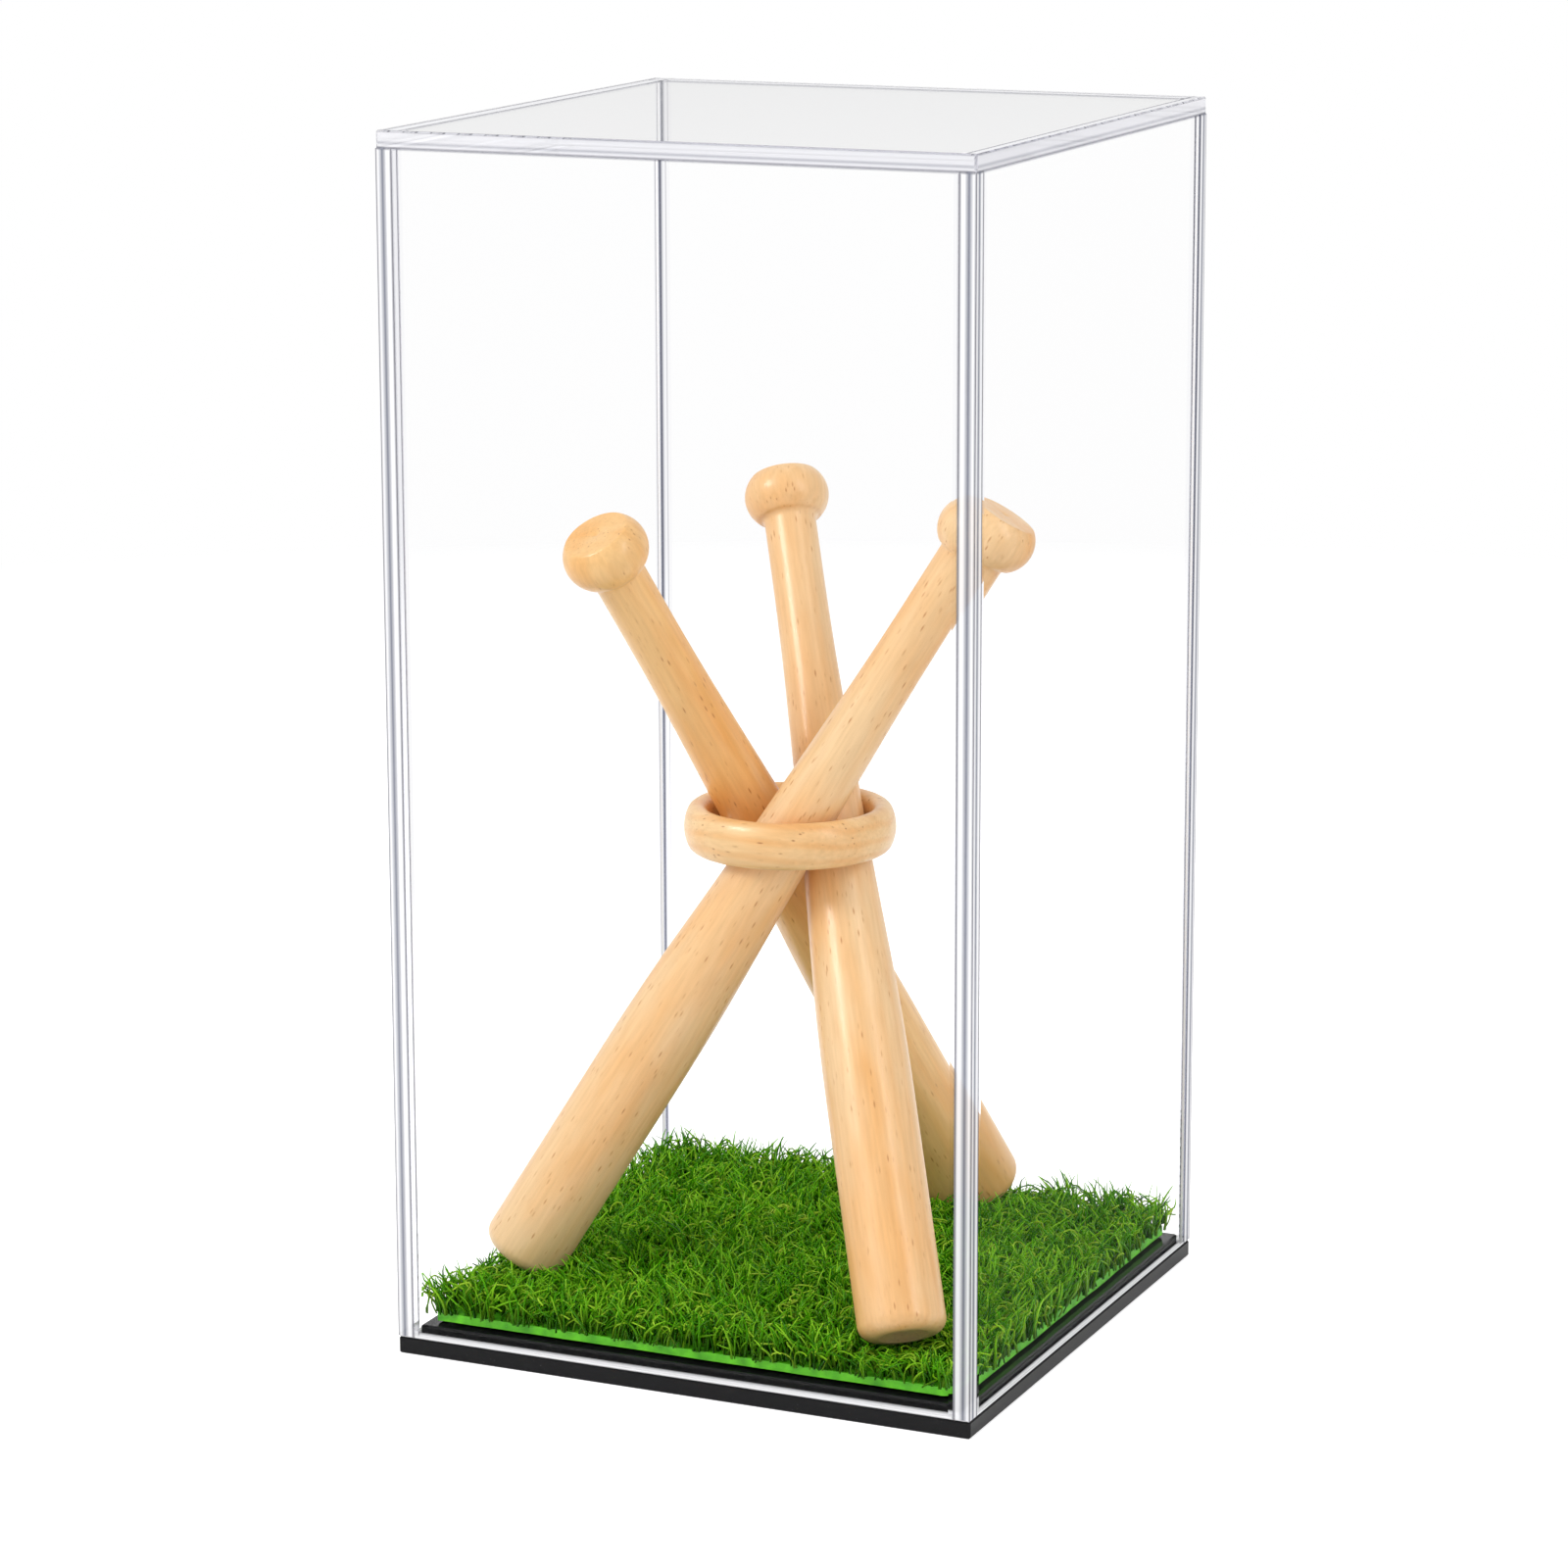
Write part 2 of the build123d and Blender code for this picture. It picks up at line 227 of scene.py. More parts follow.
def noise(tree, place, scale, **inputs):
    return add(tree, "ShaderNodeTexNoise", {"Vector": place, "Scale": scale, **inputs}).outputs["Fac"]


def bump(tree, height, strength):
    """The normal of a fine relief, up to 0.1 mm deep."""
    return add(tree, "ShaderNodeBump", {"Height": height, "Strength": strength,
                                        "Distance": 0.1 * MM}).outputs[0]


def ramp(tree, factor, stops):
    """A colour ramp with (place, colour) stops."""
    node = add(tree, "ShaderNodeValToRGB", {"Fac": factor})
    elements = node.color_ramp.elements
    while len(elements) < len(stops):
        elements.new(0.5)
    for element, (place, colour) in zip(elements, stops):
        element.position = place
        element.color = (*colour, 1)
    return node.outputs["Color"]


def mix_colours(tree, factor, first, second, blend="MIX"):
    """One colour over another. The Mix node keeps its colour sockets after its number ones."""
    node = add(tree, "ShaderNodeMix", data_type="RGBA", blend_type=blend)
    colour_inputs = [socket for socket in node.inputs if socket.type == "RGBA"]
    for socket, value in zip([node.inputs[0], *colour_inputs], (factor, first, second)):
        feed(tree, socket, value)
    return next(socket for socket in node.outputs if socket.type == "RGBA")


def layered(tree, colour, *layers):
    """A colour with others over it, each as (mask, colour)."""
    for mask, over in layers:
        colour = mix_colours(tree, mask, colour, over)
    return colour


def dress(names, material):
    """Gives CAD pieces their material."""
    for name in names:
        slots = nodes[name].data.materials
        slots.clear()
        slots.append(material)
    print(material.name, "on", len(names), "pieces")

# %% [markdown]
# ## Handling marks
#
# Polished plastic is never quite even: fingers and cloths leave faint smears, and the
# base catches fine dust. The black and the clear acrylic have smears of different
# strength, and the black one shows the dust as well, so both are in one shared node
# group. It gives only numbers, a roughness and a dust mask, and each material decides
# what to do with them.

# %% Smears and dust, shared by the acrylics
def handling_marks():
    group, given, result = new_group(
        "handling marks",
        {"Clean Roughness": 0.02, "Smear": 0.03, "Dust Scale": 900.0, "Dust Amount": 0.1},
        {"Roughness": "Float", "Dust": "Float"})
    given = given.outputs
    place = object_place(group)
    smears = noise(group, place, 38.0, Detail=5.0, Roughness=0.6, Distortion=0.8)
    smear = between(group, smears, 0.45, 0.75)
    specks = add(group, "ShaderNodeTexVoronoi", {"Vector": place, "Scale": given["Dust Scale"]})
    speck = between(group, specks.outputs["Distance"], 0.12, 0.05)
    dusty = between(group, noise(group, place, 160.0, Detail=2.0), 0.52, 0.66)
    feed_all(group, result, {
        "Roughness": number(group, "MULTIPLY_ADD", smear, given["Smear"], given["Clean Roughness"]),
        "Dust": product(group, speck, dusty, given["Dust Amount"])})
    return group


marks_group = handling_marks()
print("handling marks:", len(marks_group.nodes), "nodes")

# %% [markdown]
# ## Clear acrylic
#
# The cover is five plates of clear acrylic, bonded along their edges. What the eye
# sees of such a cover is its edges, and where they are follows from the case's own
# sizes. So a node group measures how far a point lies under the outer planes and gives
# a mask for each thing to draw: a thin dark line along every joint and arris, partly
# the bond and partly painted shade, the sawn rim of the top plate, the bonds at the
# upright corner posts and under the top plate, the matte share of each, which is
# painted light, a seam line down the posts and round the rim, and a frosted band
# at the foot of the walls. That band is a guess from a white line in the photograph.

# %% Where the plates' edges are
SAWN_EDGE = 0.06 * MM
FROST_SOLID, FROST_HEIGHT = 0.45 * MM, 0.75 * MM
BOND, LID_BOND = 0.15 * MM, 0.135 * MM
POST = 1.0 * MM
SEAM_DEPTH, SEAM_WIDTH = 1.3 * MM, 0.8 * MM
RIM_SEAM_DEPTH, RIM_SEAM_WIDTH, RIM_SEAM = 2.1 * MM, 0.45 * MM, 0.55
# Shares of a matte white that is painted light, for the light real posts, rims and joints gather.
POST_LIGHT, RIM_LIGHT, JOINT_LIGHT = 0.82, 0.6, 0.9


def plate_edges():
    masks = ("Line", "Sawn", "Frost", "Bond", "Seam", "Post Light", "Rim", "Joint")
    group, given, result = new_group(
        "plate edges",
        {"Half Side": 55 * MM, "Top": 218 * MM, "Foot": 3 * MM, "Plate": 3 * MM,
         "Line Width": 0.42 * MM},
        dict.fromkeys(masks, "Float"))
    given = given.outputs

    def calc(operation, *values):
        return number(group, operation, *values)

    def shared(*masks):
        return product(group, *masks)

    def covered(*masks):
        return highest(group, *masks)

    def near_plane(depth, at, width):
        """One where a depth under an outer plane is the given one, and zero beyond a width."""
        off = calc("ABSOLUTE", calc("SUBTRACT", depth, at))
        return between(group, off, 0.0, width, 1.0, 0.0)

    spot = add(group, "ShaderNodeSeparateXYZ", {0: object_place(group)}).outputs
    side_depths = [calc("SUBTRACT", given["Half Side"], calc("ABSOLUTE", spot[axis]))
                   for axis in ("X", "Y")]
    top_depth = calc("SUBTRACT", given["Top"], spot["Z"])
    deeper = calc("MAXIMUM", *side_depths)
    shallower = calc("MINIMUM", *side_depths)

    on_sides = [near_plane(depth, 0.0, given["Line Width"]) for depth in side_depths]
    in_sides = [near_plane(depth, given["Plate"], given["Line Width"]) for depth in side_depths]
    either_x, either_y = (covered(*pair) for pair in zip(on_sides, in_sides))
    on_top = near_plane(top_depth, 0.0, given["Line Width"])
    under_top = near_plane(top_depth, given["Plate"], given["Line Width"])
    under_lid = calc("GREATER_THAN", top_depth, calc("SUBTRACT", given["Plate"], BOND))
    # Dark lines: at joints partly the bond, along the arrises painted shade.
    line = covered(shared(either_x, either_y, under_lid), shared(*on_sides),
                   shared(on_sides[0], on_top), shared(on_sides[1], on_top),
                   shared(either_x, under_top), shared(either_y, under_top))

    faces = [near_plane(depth, 0.0, SAWN_EDGE) for depth in side_depths]
    outside = covered(*faces)
    off_face = calc("GREATER_THAN", shallower, SAWN_EDGE)
    in_wall = calc("LESS_THAN", shallower, given["Plate"])
    in_lid = calc("LESS_THAN", top_depth, given["Plate"])
    lid_joint = shared(calc("COMPARE", top_depth, given["Plate"], LID_BOND), in_wall, off_face)
    post = calc("LESS_THAN", deeper, calc("ADD", given["Plate"], POST))
    core = calc("LESS_THAN", deeper, calc("ADD", given["Plate"], BOND))
    seams = [shared(near_plane(side_depths[i], SEAM_DEPTH, SEAM_WIDTH), faces[1 - i])
             for i in (0, 1)]
    rim_seam = shared(near_plane(top_depth, RIM_SEAM_DEPTH, RIM_SEAM_WIDTH), outside, RIM_SEAM)
    rise = calc("SUBTRACT", spot["Z"], given["Foot"])
    feed_all(group, result, {
        "Line": line, "Sawn": shared(outside, in_lid),
        "Frost": between(group, rise, FROST_SOLID, FROST_HEIGHT, 1.0, 0.0),
        "Bond": covered(shared(post, under_lid), lid_joint),
        "Seam": covered(shared(covered(*seams), under_lid), rim_seam),
        # The matte white masks of the posts and the rim carry painted light.
        "Post Light": shared(core, under_lid, POST_LIGHT, outside),
        "Rim": shared(outside, in_lid, RIM_LIGHT),
        "Joint": covered(lid_joint, shared(core, off_face))})
    return group


edges_group = plate_edges()
print("plate edges:", len(edges_group.nodes), "nodes")

# %% [markdown]
# The plates themselves bend light as real ones do, which is what gives the edges their
# depth: a Refraction shader passes the light and a Glossy one mirrors it. Fresnel says
# how much is mirrored. Three things here are drawn, not physical, to match the
# photograph. It shows next to no reflections on the faces, so the cube of Fresnel is
# used: low values all but vanish, and the full mirroring inside an edge stays. Light
# passes the bonded corners unbent, outer faces too, because rays that bend there run
# down inside a plate and draw stripes near the foot. A ray that came in unbent leaves
# so: it is inside a plate after an even number of bends. And a matte white share with
# drawn lines stands in for the light that real corners, rims and joints gather. Lamps
# can't shine through glass, so for shadow and diffuse rays the plate is a clear film.
# A trace of grey in its body tints the long way through an edge.

# %% Clear acrylic
ACRYLIC_IOR = 1.49
FRESNEL_POWER = 3.0
FROSTED = 0.85
PLATE = 3 * MM
WHITE, GREY_LINE = (1, 1, 1, 1), (0.45, 0.45, 0.50, 1)


def clear_acrylic():
    material, tree, output = new_material("clear acrylic")
    marks = use_group(tree, marks_group, {"Clean Roughness": 0.0, "Smear": 0.01})
    edges = use_group(tree, edges_group, {"Half Side": cad_high.x, "Top": cad_high.z,
                                          "Foot": PLATE, "Plate": PLATE})
    rays = add(tree, "ShaderNodeLightPath").outputs
    inside = add(tree, "ShaderNodeNewGeometry").outputs["Backfacing"]
    bends = number(tree, "MODULO", rays["Transmission Depth"], 2.0)

    # Grey lines in the glass: the bond at joints, painted shade along the arrises.
    tone = layered(tree, WHITE, (edges["Sawn"], (0.84, 0.84, 0.87, 1)), (edges["Line"], GREY_LINE))
    bent = add(tree, "ShaderNodeBsdfRefraction", {"Color": tone, "Roughness": marks["Roughness"],
                                                  "IOR": ACRYLIC_IOR})
    mirror = add(tree, "ShaderNodeBsdfGlossy", {"Color": WHITE, "Roughness": marks["Roughness"]})
    fresnel = add(tree, "ShaderNodeFresnel", {"IOR": ACRYLIC_IOR}).outputs[0]
    plate = mix_shaders(tree, number(tree, "POWER", fresnel, FRESNEL_POWER), bent, mirror)

    clear = layered(tree, WHITE, (edges["Bond"], (0.965, 0.965, 0.975, 1)),
                    (edges["Line"], GREY_LINE), (edges["Seam"], (0.40, 0.42, 0.48, 1)))
    joined = add(tree, "ShaderNodeBsdfTransparent", {"Color": clear})
    unbent = product(tree, inside, number(tree, "SUBTRACT", 1.0, bends))
    plate = mix_shaders(tree, highest(tree, edges["Bond"], unbent), plate, joined)

    # Painted light: a pale matte share where real edges gather light, with dark lines and seams on
    # it.
    pale = layered(tree, (0.93, 0.93, 0.95, 1), (edges["Line"], (0.13, 0.13, 0.16, 1)),
                   (edges["Seam"], (0.18, 0.19, 0.24, 1)))
    matte = add(tree, "ShaderNodeBsdfDiffuse", {"Color": pale})
    outer = number(tree, "SUBTRACT", 1.0, inside)
    # Frost at the foot, and painted light on the posts, the rim and the joints.
    frost_and_edge_light = highest(tree, product(tree, edges["Frost"], FROSTED),
                    product(tree, edges["Post Light"], outer), edges["Rim"],
                    product(tree, edges["Joint"], bends, JOINT_LIGHT))
    plate = mix_shaders(tree, frost_and_edge_light, plate, matte)

    film = add(tree, "ShaderNodeBsdfTransparent", {"Color": (0.96, 0.96, 0.96, 1)})
    passing = highest(tree, rays["Is Shadow Ray"], rays["Is Diffuse Ray"])
    body = add(tree, "ShaderNodeVolumeAbsorption", {"Color": (0.80, 0.80, 0.84, 1), "Density": 9.0})
    feed_all(tree, output, {"Surface": mix_shaders(tree, passing, plate, film).outputs[0],
                            "Volume": body.outputs[0]})
    return material


dress(("front_panel", "back_panel", "left_panel", "right_panel", "top_panel"), clear_acrylic())

# %% [markdown]
# ## Black acrylic
#
# The base is two plates of glossy black acrylic, one set on the other. Black gloss
# shows only what it mirrors, so the finish is a dark colour, a low roughness with
# faint smears in it, and a few specks of dust that catch the light.

# %% Black acrylic
def black_acrylic():
    material, tree, output = new_material("black acrylic")
    marks = use_group(tree, marks_group, {"Clean Roughness": 0.03, "Smear": 0.04,
                                          "Dust Scale": 1100.0, "Dust Amount": 0.25})
    tone = mix_colours(tree, marks["Dust"], (0.008, 0.008, 0.009, 1), (0.3, 0.3, 0.3, 1))
    principled(tree, output, {"Base Color": tone, "Roughness": marks["Roughness"],
                              "IOR": ACRYLIC_IOR, "Specular IOR Level": 0.2})
    return material


dress(("base_plate", "base_platform"), black_acrylic())

# %% [markdown]
# ## Foam tape
#
# Four strips of black foam tape are taken to hold the turf down. Only a dark gap under
# the turf's edge shows in the photograph. A fine grain of bubbles keeps the tape from
# looking like rubber.

# %% Foam tape
def foam_tape():
    material, tree, output = new_material("foam tape")
    bubbles = add(tree, "ShaderNodeTexVoronoi", {"Vector": object_place(tree), "Scale": 2500.0})
    bubbles = bubbles.outputs["Distance"]
    tone = ramp(tree, bubbles, [(0.0, (0.006, 0.006, 0.006)), (0.7, (0.03, 0.03, 0.03))])
    principled(tree, output, {"Base Color": tone, "Roughness": 0.85,
                              "Normal": bump(tree, bubbles, 0.4)})
    return material


dress([f"turf_tape_{side}" for side in ("front", "back", "left", "right")], foam_tape())

# %% [markdown]
# ## Wood grain
#
# The bats and the ring look like varnished beech or maple. Up close such wood shows
# faint long bands, where the lathe cuts through the year rings, warmer patches, and
# many short dark flecks that all run with the grain. The grain belongs to the turned
# blank, not to the room, so each turned piece carries its own coordinates in an
# attribute: X and Y across the grain and Z along it. The group reads that attribute
# and gives a colour, a height for the bump and a roughness for the shine.

# %% Wood grain, shared by the bats and the ring
YEAR_RINGS = 330.0
RING_WANDER = 6 * MM
PITH = (21 * MM, 13 * MM, 0)
FLECK_EDGE, FLECK_CORE = 0.23, 0.08
DULL, SHINY = 0.46, 0.38


def turned_wood():
    group, given, result = new_group(
        "turned wood",
        {"Light": (0.92, 0.63, 0.36, 1), "Warm": (0.80, 0.42, 0.16, 1),
         "Fleck": (0.42, 0.17, 0.05, 1), "Band Strength": 0.25, "Patch Strength": 0.6,
         "Fleck Strength": 0.6},
        {"Color": "Color", "Height": "Float", "Shine": "Float"})
    given = given.outputs
    blank = add(group, "ShaderNodeAttribute", attribute_name="turned").outputs["Vector"]

    def along_grain(stretch, scale, kind="ShaderNodeTexNoise", **inputs):
        """A texture drawn out along the grain: its Z runs slower by the stretch."""
        squeezed = add(group, "ShaderNodeMapping", {"Vector": blank, "Scale": (1, 1, 1 / stretch)})
        texture = add(group, kind, {"Vector": squeezed.outputs[0], "Scale": scale, **inputs})
        return texture.outputs[0]

    wander = along_grain(6.0, 60.0, Detail=3.0)
    across = add(group, "ShaderNodeMapping", {"Vector": blank, "Location": PITH,
                                              "Scale": (1, 1, 0.0)})
    from_pith = vector(group, "LENGTH", across.outputs[0])
    year = number(group, "MULTIPLY_ADD", wander, RING_WANDER, from_pith)
    wave = number(group, "SINE", product(group, year, YEAR_RINGS * 2 * math.pi))
    bands = between(group, wave, -0.2, 1.0)
    patches = between(group, along_grain(3.0, 75.0, Detail=3.0, Roughness=0.55), 0.42, 0.72)
    fibres = along_grain(14.0, 1500.0, Detail=4.0)
    spots = along_grain(4.5, 1150.0, "ShaderNodeTexVoronoi")
    flecks = between(group, spots, FLECK_EDGE, FLECK_CORE)
    crowds = between(group, along_grain(2.0, 260.0, Detail=2.0), 0.42, 0.60, 0.15, 1.0)

    warmth = number(group, "ADD", product(group, bands, given["Band Strength"]),
                    product(group, patches, given["Patch Strength"]), use_clamp=True)
    fibre_tone = ramp(group, fibres, [(0.3, (0.90, 0.88, 0.85)), (0.7, (1, 1, 1))])
    colour = mix_colours(group, warmth, given["Light"], given["Warm"])
    colour = mix_colours(group, 1.0, colour, fibre_tone, "MULTIPLY")
    flecked = product(group, flecks, crowds, given["Fleck Strength"])
    feed_all(group, result, {"Color": mix_colours(group, flecked, colour, given["Fleck"]),
                             "Height": fibres,
                             "Shine": between(group, patches, 0.0, 1.0, SHINY, DULL)})
    return group


wood_group = turned_wood()
print("wood grain:", len(wood_group.nodes), "nodes")

# %% Varnish, in three woods, the rear bat's one partly painted shade
def varnished(name, light, warm, fleck, bands, patches, flecks):
    """Satin varnish over turned wood, from three colours and the strength of each mark."""
    material, tree, output = new_material(name)
    wood = use_group(tree, wood_group, {
        "Light": (*light, 1), "Warm": (*warm, 1), "Fleck": (*fleck, 1),
        "Band Strength": bands, "Patch Strength": patches, "Fleck Strength": flecks})
    principled(tree, output, {
        "Base Color": wood["Color"], "Roughness": wood["Shine"],
        "Normal": bump(tree, wood["Height"], 0.12), "Coat Weight": 0.25, "Coat Roughness": 0.2})
    return material


pale_wood = varnished("varnished bat", (0.91, 0.62, 0.33), (0.86, 0.43, 0.13),
                      (0.50, 0.18, 0.04), bands=0.12, patches=0.72, flecks=0.75)
# The rear bat's copy is more saturated amber: partly painted shade, as it stands behind the other
# bats.
shaded_amber_wood = varnished("varnished shaded amber bat", (0.91, 0.56, 0.23), (0.85, 0.38, 0.08),
                       (0.45, 0.15, 0.03), bands=0.12, patches=0.75, flecks=0.75)
ring_wood = varnished("varnished ring", (0.91, 0.62, 0.31), (0.82, 0.39, 0.11),
                      (0.36, 0.11, 0.02), bands=0.30, patches=0.7, flecks=0.8)

# %% [markdown]
# ## Turning
#
# A lathe makes a bat from an outline, and so does the function here: it turns a list
# of radii and places round an axis into a closed mesh, with one point at each pole.
# The axis is measured on the CAD bat, from the middles of its two end faces, so the
# turned piece lies exactly where the solid does.

# %% Measure the CAD pieces
END_SLICE = 0.05 * MM


def points_of(node_name):
    """A CAD piece's points, each once, as an array in metres."""
    mesh = nodes[node_name].data
    places = np.empty(3 * len(mesh.vertices))
    mesh.vertices.foreach_get("co", places)
    return np.unique(places.reshape(-1, 3).round(7), axis=0)


def axis_of(node_name):
    """The middles of a turned piece's end faces, lower one first.

    Its longest direction is a first guess, which the end faces put right.
    """
    points = points_of(node_name)
    start = points.mean(axis=0)
    way = np.linalg.svd(points - start, full_matrices=False)[2][0]
    way = way if way[2] > 0 else -way
    for _ in range(3):
        along = (points - start) @ way
        foot = points[along < along.min() + END_SLICE].mean(axis=0)
        knob = points[along > along.max() - END_SLICE].mean(axis=0)
        way = (knob - foot) / np.linalg.norm(knob - foot)
    return Vector(foot), Vector(knob)

# %% The lathe
AROUND = 96
AT_POLE = 1e-7


def arc(centre, radius, first, last, steps):
    """Points on an arc, as (radius, place), between two angles in degrees."""
    angles = [math.radians(first + (last - first) * i / steps) for i in range(steps + 1)]
    return [(centre[0] + radius * math.cos(a), centre[1] + radius * math.sin(a)) for a in angles]


def bridge(work, first, second):
    """Faces between two closed loops of points. A loop of one point closes a pole."""
    count = max(len(first), len(second))
    for i in range(count):
        after = (i + 1) % count
        corners = [first[i % len(first)], first[after % len(first)],
                   second[after % len(second)], second[i % len(second)]]
        work.faces.new(list(dict.fromkeys(corners)))


def finished(name, work, material, smooth=True):
    """A piece from mesh code, with its faces outwards and its material on."""
    bmesh.ops.recalc_face_normals(work, faces=work.faces)
    mesh = bpy.data.meshes.new(name)
    work.to_mesh(mesh)
    work.free()
    mesh.materials.append(material)
    if smooth:
        mesh.shade_smooth()
    print(name, len(mesh.polygons), "faces")
    return new_object(name, mesh)


def turned(name, outline, foot, way, offset, material):
    """A turned solid. The outline runs from pole to pole, as (radius, place) in metres."""
    way = way.normalized()
    side = way.orthogonal().normalized()
    other = way.cross(side)
    work = bmesh.new()
    layer = work.verts.layers.float_vector.new("turned")
    rings = []
    for radius, place in outline:
        count = 1 if radius < AT_POLE else AROUND
        rings.append([])
        for i in range(count):
            turn = 2 * math.pi * i / count
            x, y = radius * math.cos(turn), radius * math.sin(turn)
            vertex = work.verts.new(foot + side * x + other * y + way * place)
            vertex[layer] = Vector((x, y, place)) + offset
            rings[-1].append(vertex)
    for low, high in zip(rings, rings[1:]):
        bridge(work, low, high)
    return finished(name, work, material)

# %% [markdown]
# ## The bats
#
# The three bats are alike. From the foot up, each has a shallow cup, a rounded rim, a
# straight barrel, a long easy taper, a thin handle and a knob. The knob's end keeps
# the little hollow that the lathe's centre left. The taper is straight runs whose
# corners a moving average rounds off, as a turner blends them.

# %% A bat's outline
BARREL, NECK, HANDLE, KNOB = 7.8 * MM, 6.15 * MM, 4.7 * MM, 7.7 * MM
BARREL_END, NECK_PLACE, HANDLE_START = 56 * MM, 87 * MM, 131 * MM
BLEND, BLEND_SAMPLES, TAPER_POINTS = 12 * MM, 25, 60
RIM, CUP, CUP_DEPTH = 2.6 * MM, 4.4 * MM, 1.1 * MM
LIP, LIP_OUT, LIP_START = 0.35 * MM, 0.14 * MM, 215
KNOB_LONG, KNOB_FACE, FLARE = 9.4 * MM, 5.6 * MM, 1.1 * MM
FACE_EDGE, FACE_EDGE_START = 0.7 * MM, 35
FACE_RINGS = (0.97, 0.8, 0.5)
CENTRE_OUTER, CENTRE_MARK = 0.91 * MM, 0.7 * MM
CENTRE_STEP, CENTRE_DEPTH = 0.06 * MM, 0.35 * MM


def taper(place):
    """The barrel's and the handle's radius at a place, with its corners blended."""
    samples = np.linspace(place - BLEND, place + BLEND, BLEND_SAMPLES)
    runs = np.interp(samples, (BARREL_END, NECK_PLACE, HANDLE_START), (BARREL, NECK, HANDLE))
    return float(runs.mean())


def circle_through(a, b, c):
    """The centre and radius of the circle through three points."""
    (ax, ay), (bx, by), (cx, cy) = a, b, c
    d = 2 * (ax * (by - cy) + bx * (cy - ay) + cx * (ay - by))
    a2, b2, c2 = ax * ax + ay * ay, bx * bx + by * by, cx * cx + cy * cy
    x = (a2 * (by - cy) + b2 * (cy - ay) + c2 * (ay - by)) / d
    y = (a2 * (cx - bx) + b2 * (ax - cx) + c2 * (bx - ax)) / d
    return (x, y), math.hypot(ax - x, ay - y)


def angle_at(centre, point):
    return math.degrees(math.atan2(point[1] - centre[1], point[0] - centre[0]))


def bat_outline(length):
    """From the cup's middle over the foot, the taper and the knob to the centre mark."""
    hollow = (CUP * CUP + CUP_DEPTH * CUP_DEPTH) / (2 * CUP_DEPTH)
    inside = math.degrees(math.asin((CUP - LIP) / hollow))
    outline = arc((0, CUP_DEPTH - hollow), hollow, 90, 90 - inside, steps=8)
    outline[0] = (0.0, CUP_DEPTH)
    outline += arc((CUP + LIP_OUT, LIP), LIP, LIP_START, 270, steps=4)
    outline += arc((BARREL - RIM, RIM), RIM, 270, 360, steps=12)
    knob_start = length - KNOB_LONG
    places = np.linspace(RIM, knob_start, TAPER_POINTS)[1:]
    outline += [(taper(place), place) for place in places]
    outline += arc((HANDLE + FLARE, knob_start), FLARE, 180, 90, steps=6)[1:]
    edge = arc((KNOB_FACE, length - FACE_EDGE), FACE_EDGE, FACE_EDGE_START, 90, steps=8)
    low = (HANDLE + FLARE, knob_start + FLARE)
    widest = (KNOB, length - KNOB_LONG / 2 + FLARE / 2)
    centre, radius = circle_through(low, widest, edge[0])
    outline += arc(centre, radius, angle_at(centre, low), angle_at(centre, edge[0]), steps=20)[1:]
    outline += edge[1:]
    outline += [(KNOB_FACE * share, length) for share in FACE_RINGS]
    outline += [(CENTRE_OUTER, length), (CENTRE_MARK, length - CENTRE_STEP),
                (0.0, length - CENTRE_DEPTH)]
    return outline

# %% Turn the bats
BLANK_STEP = Vector((0.4, 0.3, 0.9))
bats = {}
for index, name in enumerate(("bat_left", "bat_front", "bat_rear")):
    foot, knob = axis_of(name)
    way = knob - foot
    # The rear bat takes the amber copy, partly painted shade.
    piece = turned(name.replace("bat_", "turned_bat_"), bat_outline(way.length), foot, way,
                   BLANK_STEP * (index + 1), shaded_amber_wood if name == "bat_rear" else pale_wood)
    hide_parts(name)
    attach(piece, name)
    bats[name] = (foot, way.normalized())
    print(name, "length", round(way.length / MM, 2), "mm, tilt",
          round(math.degrees(way.angle(Vector((0, 0, 1)))), 2), "degrees")

# %% [markdown]
# ## The ring
#
# The ring holds the bats together where they cross. It is taller than it is thick and
# has no flat anywhere, so its section is a closed outline of four arcs, turned round
# the ring's own axis. Its grain runs straight across it, as in a ring cut from a board,
# so end grain shows at two sides.

# %% Turn the ring
RING_AROUND = 144
EDGE_ROUND = 1.9 * MM
RING_BLANK = Vector((2.1, 0.2, 0.4))


def ring_section(half_thick, half_high):
    """A closed outline round the section's middle: two wide arcs and two rounded edges."""
    edge = half_high - EDGE_ROUND
    side = (half_thick**2 + edge**2 - EDGE_ROUND**2) / (2 * (half_thick - EDGE_ROUND))
    meet = math.degrees(math.atan2(edge, side - half_thick))
    section = arc((half_thick - side, 0), side, -meet, meet, steps=8)
    section += arc((0, edge), EDGE_ROUND, meet, 180 - meet, steps=10)[1:]
    section += arc((side - half_thick, 0), side, 180 - meet, 180 + meet, steps=8)[1:]
    section += arc((0, -edge), EDGE_ROUND, 180 + meet, 360 - meet, steps=10)[1:-1]
    return section


